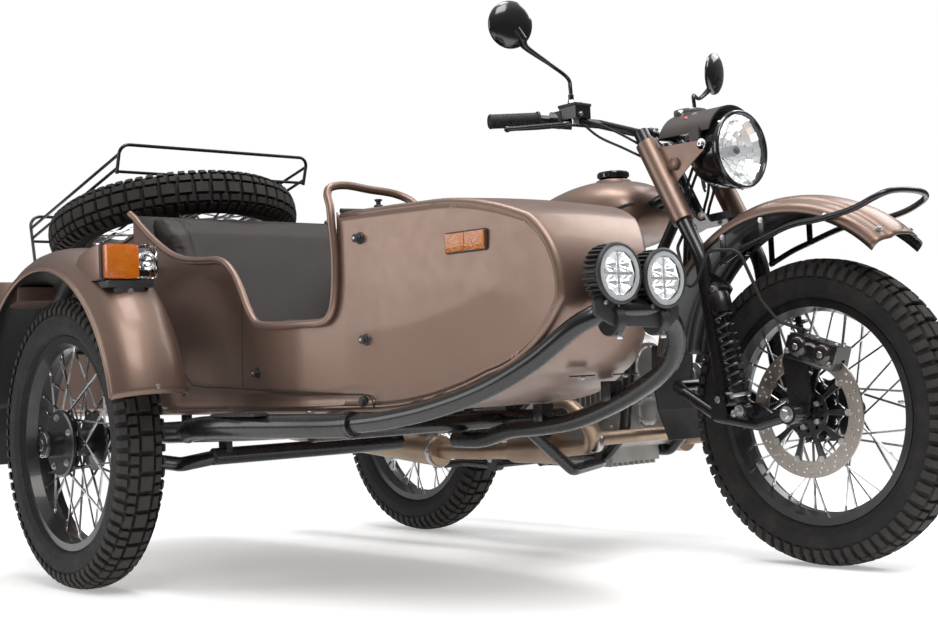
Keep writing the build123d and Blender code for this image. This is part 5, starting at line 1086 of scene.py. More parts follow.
# cables and lines from the levers down to the steering head
for s, z0, sag in ((-1, 1088, 0), (-1, 1082, 26), (1, 1088, 6), (1, 1080, 30)):
    hb.tube([(992, s * 226, z0), (1016, s * 190, z0 - 12 - sag), (1052, s * 136, z0 - 44 - sag),
             (1096, s * 90, 1000 - sag),
             (1130, s * 58, 950 - sag), (1148, s * 44, 915 - sag * 0.4)], 3.2, 0, 8, 6)
# wires behind the headlamp
for k, (y0, y1) in enumerate(((-42, -52), (-20, -34), (18, 30), (44, 50))):
    hb.tube([(1186, y0, 952), (1170, y1, 900), (1158, y1 * 0.9, 862), (1150, y1 * 0.8, 838 - 4 * k)], 3.6,
            0, 8, 6)
hb.done()

ears = Piece("lamp_ear_fittings", "fork_assembly", bronze, steel, black, slot="silver_wire")
for s in SIDES:
    ears.lathe([(0.1, 0), (13, 0), (13, 2), (0.1, 2)], (1268, s * 101, 994), (0, s, 0), 1, 28)
    ears.cap_screw((1268, s * 103, 994), (0, s, 0), 7.0, 1)
    ears.lathe([(15.5, -2), (15.5, 1.5), (13.5, 3), (0.1, 3)], (1182, s * 108, 958), (0, s, 0), 0, 36)
    for x, z in ((1178, 806), (1204, 800), (1228, 828)):
        ears.bolt((x, s * 70, z), (0.2, s, 0.1), 6.0, 1)
ears.done()

# instrument dial on the cowl
dial_face = Finish("dial_face", (0.75, 0.74, 0.70), 0.0, 0.4)
dial_face.mottle(80, 2, (0.66, 0.65, 0.60), 0.3)
dial_face.vary_rough(90, 2, 0.35, 0.5)
ga = Piece("instrument_dial", "fork_assembly", plastic, chrome, dial_face, gloss_black, red_lens,
           slot="black_plastic")
gc = (1150, 0, 1100)
ga.lathe([(38.4, -14), (40, -12), (41, -1), (40.2, 3), (37, 4), (35.5, 2)], gc, Z, 1, 56)
ga.lathe([(0.1, 0.6), (35.8, 0.6)], gc, Z, 2, 56)
for k in range(25):
    a = math.radians(225 - 11.25 * k)
    r0, r1 = (27, 33) if k % 2 == 0 else (30, 33)
    ux, uy = -math.sin(a), math.cos(a)
    ga.prism([(r0, -0.5), (r1, -0.5), (r1, 0.5), (r0, 0.5)], (1150, 0, 1100.8), (ux, uy, 0), (-uy, ux, 0),
             0.5, 3)
a = math.radians(200)
ga.prism([(-6, -1.2), (28, -0.4), (28, 0.4), (-6, 1.2)], (1150, 0, 1101.6), (-math.sin(a), math.cos(a), 0),
         (-math.cos(a), -math.sin(a), 0), 0.8, 4)
ga.lathe([(5, 0), (4.5, 2.4), (0.1, 2.4)], (1150, 0, 1101), Z, 3, 20)
for y in (-62, 62):
    ga.lathe([(6, -4), (6, 1.5), (4.6, 3), (0.1, 3)], (1190, y, 1072), (0.1, y / 62 * 0.72, 0.7),
             4 if y < 0 else 1, 18)
ga.done()
gg = Piece("instrument_glass", "fork_assembly", glass, slot="clear_glass")
gg.lathe([(36.4, 1.4), (34, 3.2), (0.1, 4.4)], gc, Z, 0, 48)
gg.lathe([(36.4, 1.2), (34, 2.4), (0.1, 3.4)], gc, Z, 0, 48)
gg.done()

# ------------------------------------------------------------------ knee rubber and tank cap
knee = Finish("knee_rubber_ribbed", (0.016, 0.0155, 0.016), 0.0, 0.6)
knee.patches(26, 4, 0.45, 0.75, (0.036, 0.034, 0.032), 0.5)
knee_ribs = knee.math("SINE", knee.math("MULTIPLY", knee.part_of("Z"), 900.0))
knee.bump(knee_ribs, 0.5, 0.0012)
knee.vary_rough(60, 3, 0.5, 0.7)
tc = Piece("tank_cap", "chassis", gloss_black, steel, slot="black_plastic")
tc.lathe([(38.2, -14), (40, -12), (40.6, -2), (39, 2), (30, 4), (14, 4.6), (0.1, 4.8)], (873, 0, 984), Z,
         0, 48)
for t in circle(24):
    tc.lathe([(0.1, -11), (2.2, -11), (2.2, -1), (0.1, 0)],
             (873 + 40 * math.cos(t), 40 * math.sin(t), 984), Z, 0, 8)
tc.done()

# ------------------------------------------------------------------ cushions by cloth simulation
def settle(ob, cap, floor_z=None, pressure=4.0):
    """Swells a closed mesh a little by cloth pressure, each point moving at most cap millimetres."""
    scene = bpy.context.scene
    base = [v.co.copy() for v in ob.data.vertices]
    mod = ob.modifiers.new("cloth", "CLOTH")
    mod.settings.use_pressure = True
    mod.settings.uniform_pressure_force = pressure
    mod.settings.effector_weights.gravity = 0
    mod.settings.quality = 5
    mod.settings.mass = 0.3
    mod.point_cache.frame_start = 1
    mod.point_cache.frame_end = 20
    for frame_no in range(1, 21):
        scene.frame_set(frame_no)
    done = ob.evaluated_get(bpy.context.evaluated_depsgraph_get()).to_mesh()
    moved = [v.co.copy() for v in done.vertices]
    ob.evaluated_get(bpy.context.evaluated_depsgraph_get()).to_mesh_clear()
    ob.modifiers.remove(mod)
    for v, a, b in zip(ob.data.vertices, base, moved):
        d = b - a
        if d.length > cap / 1000:
            d *= cap / 1000 / d.length
        v.co = a + d
        if floor_z is not None and v.co.z < floor_z / 1000:
            v.co.z = floor_z / 1000
    scene.frame_set(1)


def cushion(name, body, outline, y0, y1, cap, node, finish, grooves, voxel=6.0, shape=None,
            floor_z=None):
    """Padded piece from a side outline between y0 and y1; grooves are (test point function, width, depth)."""
    bm = bmesh.new()
    low = [bm.verts.new(P(x, y0, z)) for x, z in outline]
    high = [bm.verts.new(P(x, y1, z)) for x, z in outline]
    count = len(outline)
    bm.faces.new(low[::-1])
    bm.faces.new(high)
    for k in range(count):
        bm.faces.new((low[k], low[(k + 1) % count], high[(k + 1) % count], high[k]))
    bmesh.ops.recalc_face_normals(bm, faces=bm.faces)
    mesh = bpy.data.meshes.new(name)
    bm.to_mesh(mesh)
    bm.free()
    ob = bpy.data.objects.new(name, mesh)
    bpy.context.scene.collection.objects.link(ob)
    if shape:
        mod = ob.modifiers.new("plan", "BOOLEAN")
        mod.object = shape
        mod.operation = "INTERSECT"
    mod = ob.modifiers.new("remesh", "REMESH")
    mod.mode = "VOXEL"
    mod.voxel_size = voxel / 1000
    mod = ob.modifiers.new("round", "SMOOTH")
    mod.iterations = 9
    mod.factor = 0.6
    deps = bpy.context.evaluated_depsgraph_get()
    fresh = bpy.data.meshes.new_from_object(ob.evaluated_get(deps))
    ob.modifiers.clear()
    ob.data = fresh
    settle(ob, cap, floor_z)
    mod = ob.modifiers.new("sub", "SUBSURF")
    mod.levels = mod.render_levels = 1
    fresh = bpy.data.meshes.new_from_object(ob.evaluated_get(bpy.context.evaluated_depsgraph_get()))
    ob.modifiers.clear()
    ob.data = fresh
    # sewn seams: a narrow channel with the panels swelling beside it
    normals = [v.normal.copy() for v in fresh.vertices]
    for v, n in zip(fresh.vertices, normals):
        x = v.co.x * 1000 + MID_X
        y = v.co.y * 1000 + MID_Y
        z = v.co.z * 1000
        push = 0.0
        for test, width, depth in grooves:
            d = abs(test(x, y, z))
            if d < width:
                push -= depth * (1 - d / width) ** 2
            elif d < width * 4:
                push += depth * 0.25 * (1 - (d - width) / (width * 3))
        v.co += n * push / 1000
    for p in fresh.polygons:
        p.use_smooth = True
    fresh.materials.clear()
    fresh.materials.append(finish.mat)
    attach(ob, body)
    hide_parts(node)
    return ob


cushion("sidecar_cushion", "chassis", [(384, 430), (792, 430), (796, 588), (770, 602), (384, 590)],
        TUB_Y - 258, TUB_Y + 258, 11, "sidecar_seat", seat_vinyl,
        [(lambda x, y, z: abs(y - TUB_Y) - 206, 5.0, 5.0),
         (lambda x, y, z: (x - 738) if z > 520 else 99, 5.0, 4.0)],
        floor_z=412)
cushion("sidecar_backrest", "chassis", [(206, 770), (352, 520), (388, 604), (322, 760), (276, 862),
                                        (232, 900), (176, 912), (166, 886)],
        TUB_Y - 266, TUB_Y + 266, 9, "sidecar_seat", seat_vinyl,
        [(lambda x, y, z: abs(y - TUB_Y) - 214, 5.0, 5.0)])

plan = bpy.data.objects.new("saddle_plan", bpy.data.meshes.new("saddle_plan"))
bm = bmesh.new()
ring = [(-232, -112), (100, -124), (330, -124), (545, -66), (545, 66), (330, 124), (100, 124), (-232, 112)]
low = [bm.verts.new(P(x, y, 700)) for x, y in ring]
high = [bm.verts.new(P(x, y, 900)) for x, y in ring]
bm.faces.new(low[::-1])
bm.faces.new(high)
for k in range(8):
    bm.faces.new((low[k], low[(k + 1) % 8], high[(k + 1) % 8], high[k]))
bmesh.ops.recalc_face_normals(bm, faces=bm.faces)
bm.to_mesh(plan.data)
bm.free()
bpy.context.scene.collection.objects.link(plan)
cushion("rider_saddle", "chassis", [(-226, 740), (546, 740), (548, 780), (516, 798), (360, 786),
                                    (250, 784), (204, 812), (120, 820),
                                    (-180, 822), (-228, 792)], -140, 140, 8, "saddle", saddle_vinyl,
        [(lambda x, y, z: z - 772, 3.5, 3.0), (lambda x, y, z: (x - 214) if z > 774 else 99, 5.0, 4.0),
         (lambda x, y, z: (x - 60) if z > 790 else 99, 4.0, 3.0),
         (lambda x, y, z: (x + 70) if z > 790 else 99, 4.0, 3.0)],
        shape=plan, floor_z=737)
bpy.data.objects.remove(plan)

# ------------------------------------------------------------------ studs of the tub's cover
st = Piece("cover_studs", "chassis", plastic, steel, slot="black_plastic")
for x, z, dy in ((1106, 760, 2.0), (1116, 551, 4.0), (727, 495, 0.0)):
    q = (x, TUB_Y - (HALF_W - TAPER * max(0.0, x - TAPER_X) + dy), z)
    st.lathe([(13, -0.5), (12, 2), (7, 3), (6, 8), (9, 10), (9, 13), (6, 15), (0.1, 15)], q, RIGHT, 0, 24)
    st.lathe([(3, 15), (2.6, 16.2), (0.1, 16.2)], q, RIGHT, 1, 12)
for x, y in ((1130, -960), (1210, -800), (1150, -560)):
    st.lathe([(10, -1), (9, 2), (5, 3), (5, 9), (8, 11), (8, 14), (0.1, 14)], (x, y, 825), Z, 0, 20)
st.done()

# bolts of the chassis and of the frame
bo = Piece("chassis_bolts", "chassis", steel, black, slot="silver_wire")
for x, y, z in ((330, -1080, 386), (540, -1070, 386), (960, -1036, 402), (240, -440, 383), (540, -440, 383),
                (930, -446, 386)):
    bo.bolt((x, y, z - 0.5), Z, 7.5, 0)
for x, y, z, size in ((452, 114, 232, 7), (405, 136, 300, 7), (600, 137.5, 300, 7), (712, 118.5, 257, 6),
                      (900, 118.5, 257, 6)):
    for s in SIDES:
        bo.bolt((x, s * y, z), (0, s, 0), size, 0)
bo.done()

# ------------------------------------------------------------------ engine details
en = Piece("engine_fittings", "chassis", alloy, steel, soft_rubber, plastic, chrome, slot="cast_alloy")
for s in SIDES:
    for dx, dz in ((-52, -44), (52, -44), (-52, 44), (52, 44), (0, -52), (0, 52)):
        en.cap_screw((830 + dx, s * 391.4, 395 + dz), (0, s, 0), 5.0, 1)
    en.prism([(-50, -8), (50, -8), (50, 8), (-50, 8)], (830, s * 391.5, 395), (-s, 0, 0), Z, 3.0, 0, 2.0)
    # plug and its lead
    en.lathe([(9, 0), (9, 12), (11, 14), (11, 38), (8, 42), (0.1, 42)], (870, s * 300, 462),
             (0.35, 0, 0.94), 2, 18)
    en.tube([(885, s * 300, 502), (892, s * 262, 545), (880, s * 190, 585), (840, s * 110, 600)], 4.0, 2,
            10, 6)
    # push-rod tubes
    for x, dz in ((798, -34), (800, 34)):
        en.tube([(x, s * 106, 395 + dz * 2.2), (800, s * 258, 395 + dz * 2.2)], 8, 4, 14, 1)
    # throttle body clamps
    en.lathe([(25.5, 0), (27, 1), (27, 9), (25.5, 10)], (742, s * 296, 420), (-0.95, 0, 0.28), 4, 28)
# round covers with their screws
for z, r, x in ((470, 62, 971), (355, 46, 959)):
    en.lathe([(r - 8, 0), (r - 12, 4), (r * 0.4, 6.5), (0.1, 7)], (x, 0, z), X, 0, 48)
    for t in circle(6, 0.5):
        en.cap_screw((x, (r - 6) * math.cos(t), z + (r - 6) * math.sin(t)), X, 4.5, 1)
for x, z in ((672, 290), (672, 420), (672, 525), (740, 545), (925, 320), (925, 450), (860, 540),
             (760, 280), (860, 280)):
    for s in SIDES:
        en.cap_screw((x, s * 104.6, z), (0, s, 0), 5.0, 1)
en.lathe([(16, 0), (18, 2), (18, 12), (13, 15), (0.1, 15)], (700, -80, 551), (0, -0.1, 1), 3, 6, flat=True)
# kick-start shaft and lever on the left of the gearbox
en.tube([(520, 92, 380), (520, 150, 380), (520, 168, 388), (470, 176, 470), (452, 178, 520)],
        [9, 9, 9, 8, 7], 1, 14, 5)
en.lathe([(0.1, 0), (10, 0), (10, 44), (0.1, 44)], (452, 168, 520), Y, 2, 20)
# hose clips of the air box
for s in SIDES:
    en.lathe([(26, 0), (28, 1), (28, 8), (26, 9)], (584, s * 170, 530), (-0.25, -s * 0.8, 0.4), 4, 28)
en.done()

# exhaust clamps
ex = Piece("exhaust_clamps", "chassis", steel, exhaust_steel, slot="heat_tinted_steel")
for s in SIDES:
    ex.lathe([(22, 0), (27, 1), (30, 5), (30, 12), (22, 13)], (918, s * 300, 384), X, 0, 32)
    ex.lathe([(43, 0), (45, 1), (45, 13), (43, 14)], (392, s * 241.5, 262), BACK, 0, 40)
    ex.bolt((385, s * 241.5 + s * 44, 262), (0, s, 0), 5, 0)
    ex.lathe([(22, 0), (24.5, 1), (24.5, 15), (22, 16)], (1017, s * 250, 292), (0, s, 0), 0, 28)
    ex.lathe([(16.2, 0), (19, 1), (19, 8), (16.2, 9)], (-345, s * 250.1, 330.5), (-0.9957, 0, 0.092), 1, 28)
ex.done()

# ------------------------------------------------------------------ rack and lid fittings
li = Piece("lid_fittings", "lid", steel, black, chrome, slot="silver_wire")


def deck_point(f, y, up_by):
    """Design point from distances ahead of the spare's middle and above the lid's own plane."""
    drop = SPARE_LIFT - up_by
    return (SPARE[0] + drop * SLOPE_SIN + f * SLOPE_COS, y, SPARE[2] - drop * SLOPE_COS + f * SLOPE_SIN)


li.lathe([(13, 0), (26, 0), (26, 3), (13, 3)], deck_point(0, SPARE[1], 182), DECK_UP, 0, 36)
li.lathe([(20, 3), (20, 15), (17, 18), (13, 18)], deck_point(0, SPARE[1], 182), DECK_UP, 0, 6, flat=True)
for y in (-1000, -450):
    for f in (-340, 220):
        li.lathe([(5, 0), (9, 0), (9, 5), (5, 5)], deck_point(f, y, 13), DECK_UP, 1, 20)
for y in (-905, -545):
    for dy in (-22, 22):
        li.cap_screw(deck_point(-380, y + dy, 16), DECK_UP, 4.5, 0)
for s in SIDES:
    li.prism([(-16, -10), (16, -10), (16, 10), (-16, 10)], deck_point(262, TUB_Y + s * 200, 13), DECK_X,
             Y, 6, 2, 1.5)
li.done()

# ------------------------------------------------------------------ the tub's sheet metal
tub_liner = Finish("tub_liner_black", (0.016, 0.0155, 0.016), 0.0, 0.7)
tub_liner.patches(30, 4, 0.4, 0.8, (0.034, 0.032, 0.031), 0.6)
tub_liner.vary_rough(50, 3, 0.6, 0.8)
tub_liner.grain(420, 2, 0.25, 0.0006)


def arc3(a, b, c, count):
    """Points along the circle through three points (x, z), without the last."""
    (x1, y1), (x2, y2), (x3, y3) = a, b, c
    d = 2 * (x1 * (y2 - y3) + x2 * (y3 - y1) + x3 * (y1 - y2))
    q1, q2, q3 = x1 * x1 + y1 * y1, x2 * x2 + y2 * y2, x3 * x3 + y3 * y3
    ux = (q1 * (y2 - y3) + q2 * (y3 - y1) + q3 * (y1 - y2)) / d
    uy = (q1 * (x3 - x2) + q2 * (x1 - x3) + q3 * (x2 - x1)) / d
    r = math.hypot(x1 - ux, y1 - uy)
    t1 = math.atan2(y1 - uy, x1 - ux)
    t3 = math.atan2(y3 - uy, x3 - ux)
    while t3 > t1:
        t3 -= 2 * math.pi
    return [(ux + r * math.cos(t1 + (t3 - t1) * k / count), uy + r * math.sin(t1 + (t3 - t1) * k / count))
            for k in range(count)]


def near_y(x):
    """Outer face of the tub's right side."""
    return TUB_Y - HALF_W + TAPER * max(0.0, x - TAPER_X)


def far_y(x):
    """Outer face of the left side, drawn in towards the nose."""
    u = max(0.0, x - TAPER_X) / 725
    return TUB_Y + HALF_W - 255 * u * u


def hatch(x):
    """Height of the tub's upper edge under the lid."""
    foot_x, _, foot_z = deck_point(0, TUB_Y, 0)
    return foot_z + (x - foot_x) * SLOPE_SIN / SLOPE_COS


# cockpit edge, rear to front: low entry on the right, higher on the left
ENTRY = [(150, 916), (169, 906), (205, 880), (282, 833), (360, 796), (437, 776), (512, 768), (578, 763),
         (620, 748),
         (653, 720), (678, 686), (698, 652), (721, 622), (752, 603), (830, 596), (924, 594), (984, 594),
         (1009, 604), (1024, 629), (1032, 676), (1034, 740), (1036, 822)]
LEFT_EDGE = [(150, 916), (200, 880), (300, 832), (420, 808), (600, 808), (900, 818), (1036, 822)]
nose = arc3((1290, 818), (1448, 799), (1553, 764), 12)
nose += arc3((1553, 764), (1614, 690), (1625, 600), 16)
nose += arc3((1625, 600), (1568, 524), (1444, 462), 14)
nose += arc3((1444, 462), (1290, 418), (1131, TUB_FLOOR), 10)
belt = [(1043, 822), (1120, 821.5), (1200, 820.5)] + nose + [(x, TUB_FLOOR) for x in (1131, 900, 600, 300, 0)]
belt += arc3((-330, TUB_FLOOR), (-478, 458), (TUB_REAR, 600), 14)
belt += [(TUB_REAR, 600), (TUB_REAR, 650), (TUB_REAR, hatch(TUB_REAR))]
# radius of the pressed edges
ROUND = 13.0


def belt_normal(k):
    """Outward direction of the belt's outline at its k-th point."""
    ax, az = belt[max(k - 1, 0)]
    bx, bz = belt[min(k + 1, len(belt) - 1)]
    d = math.hypot(bx - ax, bz - az)
    return -(bz - az) / d, (bx - ax) / d


def sill_line(x):
    """Height of the line below which the sides are pressed inwards."""
    if x < 384:
        return 587 - (x - 349) * 3.2
    if x < 480:
        return 478 - (x - 384) * 0.10
    return 468 - (x - 480) * 0.043


def side_sheet(piece, s, top_edge, mat=0, panel=0.0):
    """One side of the tub: a grid from its lower to its upper edge, pressed and softly crowned."""
    y_of = near_y if s < 0 else far_y
    edge = []
    for k, (x, z) in enumerate(belt):
        nx, nz = belt_normal(k)
        edge.append((x - nx * ROUND, z - nz * ROUND))
    tip = max(range(len(edge)), key=lambda k: edge[k][0])
    last = min(k for k in range(len(edge)) if belt[k][0] <= TUB_REAR + 0.1)
    low_pts = sorted(edge[tip:last + 1])
    up_pts = sorted(edge[:tip + 1])
    rear = low_pts[0][0]
    top = [(rear, hatch(rear)), (141.9, hatch(141.9)), (142, 916), (149.9, 916)]
    top += top_edge + [q for q in up_pts if q[0] > top_edge[-1][0] + 0.5]
    xs = sorted({round(x, 2) for x, _ in low_pts} | {round(x, 2) for x, _ in top}
                | {float(x) for x in range(-540, 1560, 20)})
    xs = [x for x in xs if x <= edge[tip][0]]

    def at_x(pts, x):
        for (a, za), (b, zb) in zip(pts, pts[1:]):
            if a <= x <= b:
                return za if b == a else za + (zb - za) * (x - a) / (b - a)
        return pts[0][1] if x < pts[0][0] else pts[-1][1]

    rows = 34
    grid = []
    for x in xs:
        zl, zh = at_x(low_pts, x), at_x(top, x)
        column = []
        for r in range(rows + 1):
            z = zl + (zh - zl) * r / rows
            # crown of the nose panel, and the sill pressed inwards
            rim = min(1.0, (z - zl) / 150) * min(1.0, (zh - z) / 150) * min(1.0, (edge[tip][0] - x) / 150)
            crown = 8.0 * max(0.0, rim) * min(1.0, max(0.0, (x - 1045) / 120))
            sill = 0.0
            if panel and 330 < x < 1140:
                sill = panel * max(0.0, min(1.0, (sill_line(x) - z) / 7.0)) * min(1.0, (1140 - x) / 12)
                sill *= min(1.0, (z - zl) / 10)
            column.append(piece.bm.verts.new(P(x, y_of(x) + s * (crown - sill), z)))
        grid.append(column)
    piece.strips(grid, mat)


def wrap_sheet(piece, mat=0):
    """Cowl, nose, floor and rear wall between the sides, with the pressed edges rounded."""
    rings = []
    for k, (x, z) in enumerate(belt):
        nx, nz = belt_normal(k)
        ring = []
        for a in range(0, 91, 15):
            t = math.radians(a)
            lift = -ROUND * (1 - math.sin(t))
            ring.append((x + nx * lift, near_y(x + nx * lift) + ROUND * (1 - math.cos(t)), z + nz * lift))
        y0, y1 = near_y(x), far_y(x)
        for m in range(1, 16):
            f = m / 16
            ring.append((x + nx * 5 * math.sin(math.pi * f), y0 + ROUND + (y1 - y0 - 2 * ROUND) * f,
                         z + nz * 5 * math.sin(math.pi * f)))
        for a in range(90, -1, -15):
            t = math.radians(a)
            lift = -ROUND * (1 - math.sin(t))
            ring.append((x + nx * lift, far_y(x + nx * lift) - ROUND * (1 - math.cos(t)), z + nz * lift))
        rings.append([piece.bm.verts.new(P(*q)) for q in ring])
    piece.strips(rings, mat)


sb = Piece("tub_skin", "chassis", bronze, tub_liner, slot="bronze_paint")
side_sheet(sb, -1, ENTRY, panel=5.0)
side_sheet(sb, 1, LEFT_EDGE, panel=5.0)
wrap_sheet(sb)
# both faces of the bulkhead behind the seat
for x in (143, 149):
    corners = ((TUB_Y - 291, 405), (TUB_Y + 291, 405), (TUB_Y + 291, 916), (TUB_Y - 291, 916))
    sb.face([sb.bm.verts.new(P(x, y, z)) for y, z in corners], 1, True)
tub = sb.done(replaces=("sidecar_body", "sidecar_sides", "sidecar_nose"))
mod = thicken(tub, 0.004)
mod.material_offset = 1
mod.material_offset_rim = 0

sm = Piece("tub_seams", "chassis", tub_liner, plastic, steel, slot="bronze_paint")
sm.tube([(669.5, -1018.2, 664), (664, -1018.2, 560), (659.3, -1018.2, 466)], 0.9, 0, 6, 4)
sm.tube([(349, -1018.3, 587), (367, -1018.3, 550), (384, -1018.3, 513), (412, -1018.3, 483),
         (460, -1018.3, 470),
         (659, -1018.3, 461), (896, -1018.3, 446), (1038, -1001.3, 440), (1100, -993.3, 438),
         (1120, -991.3, 430), (1126, -990.5, 410)], 1.3, 0, 6, 5)
sm.bolt((1092, -993, 424), (0.12, -1, 0), 8.0, 1)
sm.bolt((1092, -994, 424), (0.12, -1, 0), 5.0, 2)
sm.done()

# cockpit trim: one bent tube round the entry and up into the grab bar, one along the left
tr = Piece("cockpit_trim_tube", "chassis", bronze, soft_rubber, slot="bronze_paint")
run = [(146, -1028, 921)] + [(x, near_y(x) - 7.5, z) for x, z in ENTRY[1:-1]]
run += [(1031, -1011, 800), (1024, -1008, 834), (1010, -1004, 862), (1004, -990, 879), (1004, -950, 885),
        (1004, -890, 879), (1008, -830, 873), (1026, -800, 858), (1050, -792, 836), (1056, -790, 822)]
tr.tube(run, 8.6, 0, 18, 5)
run = [(146, -422, 921)] + [(x, TUB_Y + HALF_W + 7.5, z) for x,
                            z in LEFT_EDGE[1:-1]] + [(1040, TUB_Y + HALF_W + 6, 826)]
tr.tube(run, 8.6, 0, 18, 6)
tr.tube([(1043, near_y(1043) + 6, 824), (1043, TUB_Y, 829), (1043, far_y(1043) - 6, 824)], 5.5, 1, 10, 8)
tr.done(replaces=("cockpit_trim",))

# the outrigger tube beside the wheel, its end collar and its rubber step pad
ot = Piece("outrigger_tube", "chassis", black, soft_rubber, steel, slot="black_paint")
ot.tube([(572, -1117, 368), (600, -1118, 374), (680, -1116, 379), (800, -1100, 380), (930, -1072, 379),
         (1030, -1040, 378), (1086, -1024, 379)], 26, 0, 28, 6)
ot.lathe([(26, 0), (28, 0.5), (28, 10), (20, 10.5), (19, 10.5)], (1080, -1026, 378.8), (30, 8, 1), 0, 32)
ot.block((700, -1128, 402), (886, -1092, 408), 1, 2.0)
for k in range(9):
    ot.block((706 + 20 * k, -1126, 407.5), (718 + 20 * k, -1094, 410), 1, 0.8)
ot.done()

# crash bar: one bent tube from the side member round the nose and back under the floor
cb = Piece("crash_bar_tube", "chassis", black, steel, slot="black_paint")
cb.tube([(1072, -1027, 379), (1130, -1020, 382), (1200, -1010, 388), (1300, -997, 402), (1400, -978, 425),
         (1480, -960, 452), (1560, -936, 492), (1632, -910, 543), (1660, -890, 562), (1672, -858, 574),
         (1676, -800, 576),
         (1674, -735, 575), (1664, -680, 556), (1636, -636, 512), (1585, -612, 466), (1500, -602, 425),
         (1400, -600, 388),
         (1300, -600, 362), (1200, -600, 350), (1100, -600, 343), (1000, -600, 322), (905, -600, 321)],
        19, 0, 24, 5)
cb.lathe([(19, 0), (26, 0.5), (26, 36), (19, 36.5)], (1066, -1028, 378), (36, 4, 2), 0, 32)
for x, z0, z1 in ((1210, 362, 400), (1420, 402, 444)):
    cb.block((x - 14, -618, z0), (x + 14, -582, z1), 0, 1.5)
for x, y, z in ((1500, -760, 478), (1500, -640, 478)):
    cb.block((x - 10, y - 26, z - 22), (x + 10, y + 26, z - 19), 0, 1.0)
    cb.bolt((x, y, z - 22), (0.3, 0, -0.95), 5.5, 1)
cb.done(replaces=("crash_bar",))

# ------------------------------------------------------------------ tank
tk = Piece("tank_shell", "chassis", bronze, plastic, slot="bronze_paint")
# powers of the section's curve above and below its widest line, which lies at this share of its height
TANK_TOP, TANK_FOOT, BELLY = 2.3, 5.0, 0.38
# x, half width, top z, bottom z
TANK = [(560, 60, 838, 800), (564, 84, 862, 782), (584, 104, 884, 772), (620, 122, 906, 768),
        (670, 137, 929, 768),
        (740, 148, 949, 770), (810, 152, 960, 778), (880, 149, 962, 786), (940, 136, 954, 796),
        (985, 116, 938, 808), (1012, 92, 916, 826), (1024, 62, 892, 846), (1028, 30, 876, 860)]
rings = []
for k in range((len(TANK) - 1) * 4 + 1):
    i = min(k // 4, len(TANK) - 2)
    t = (k - 4 * i) / 4
    q = []
    for j in range(4):
        a, b, c, d = (TANK[max(i - 1, 0)][j], TANK[i][j], TANK[i + 1][j], TANK[min(i + 2, len(TANK) - 1)][j])
        q.append(between(a, b, c, d, t))
    x, w, zt, zb = q
    ring = []
    for a in circle(56):
        ca, sa = math.cos(a), math.sin(a)
        power = TANK_TOP if sa > 0 else TANK_FOOT
        belly = zb + (zt - zb) * BELLY
        yy = w * math.copysign(abs(ca) ** (2 / power), ca)
        zz = belly + (zt - belly if sa > 0 else belly - zb) * math.copysign(abs(sa) ** (2 / power), sa)
        ring.append(P(x, yy, zz))
    rings.append(ring)
tk.rings(rings, 0, caps=True)
tk.lathe([(47, -16), (46, -6), (43, -3.5), (40, -3)], (873, 0, 968), Z, 0, 48)
tk.done(replaces=("tank",), auto=50)
for s in SIDES:
    tp = Piece("tank_knee_strip_" + ("left" if s > 0 else "right"), "chassis", knee, slot="tyre_rubber")
    out = []
    for k in range(25):
        f = k / 24
        x = 612 + 180 * f
        row = []
        for m in range(9):
            g = m / 8 * 2 - 1
            half = 40 * math.sqrt(max(0.0, 1 - abs(2 * f - 1) ** 3.2)) + 0.5
            z = 836 + g * half
            base = [(xx, ww) for xx, ww, _, _ in TANK]
            w = 0
            for (xa, wa), (xb, wb) in zip(base, base[1:]):
                if xa <= x <= xb:
                    w = wa + (wb - wa) * (x - xa) / (xb - xa)
            lift = 6.0 * (1 - abs(g) ** 5) * (1 - abs(2 * f - 1) ** 8)
            # top and bottom of the shell, taken as level over the strip's length
            zt, zb = 949, 769
            belly = zb + (zt - zb) * BELLY
            v = (z - belly) / ((zt - belly) if z > belly else (belly - zb))
            power = TANK_TOP if z > belly else TANK_FOOT
            wy = w * max(0.0, 1 - abs(v) ** power) ** (1 / power)
            row.append(tp.bm.verts.new(P(x, s * (wy - 0.8 + lift), z)))
        out.append(row)
    tp.strips(out)
    tp.done(auto=60)
ts = Piece("tank_strap", "chassis", soft_rubber, slot="tyre_rubber")
for s in SIDES:
    ts.tube([(800, s * 152.5, 812), (880, s * 149.5, 832), (940, s * 137.5, 852), (990, s * 113, 872),
             (1018, s * 80, 884)],
            4.5, 0, 8, 5)
ts.done()

# ------------------------------------------------------------------ front mudguard with its hoop and flap
fm = Piece("front_guard_sheet", "fork_assembly", front_guard_paint, black, steel, soft_rubber,
           slot="bronze_paint")
FRONT_SECTION = [(88, 365), (88.5, 376), (87, 384), (82, 391), (73, 396), (60, 399.5), (50, 401.5),
                 (46, 405), (43, 409),
        (34, 412.5), (18, 414.5), (0, 415.5)]
FRONT_SECTION = FRONT_SECTION + [(-y, r) for y, r in FRONT_SECTION[-2::-1]]
rings = []
for k in range(64):
    t = math.radians(46 + 125 * k / 63)
    ring = []
    for y, r in FRONT_SECTION:
        ring.append(P(FRONT_GUARD[0] + r * math.cos(t), y, FRONT_GUARD[2] + r * math.sin(t)))
    rings.append([fm.bm.verts.new(q) for q in ring])
fm.strips(rings)
thicken(fm.done(replaces=("front_mudguard",), auto=30), 0.0025)
hp = Piece("front_guard_hoop", "fork_assembly", black, steel, soft_rubber, slot="black_paint")
side_run = [(1300, 94, 705), (1363, 96, 731), (1413, 97, 746), (1509, 97, 772), (1582, 97, 777),
            (1644, 97, 784),
            (1687, 96, 793), (1722, 93, 806), (1742, 84, 815), (1752, 66, 821), (1757, 40, 824),
            (1759, 14, 825)]
hp.tube(side_run + [(x, -y, z) for x, y, z in side_run[::-1]], 7, 0, 14, 5)
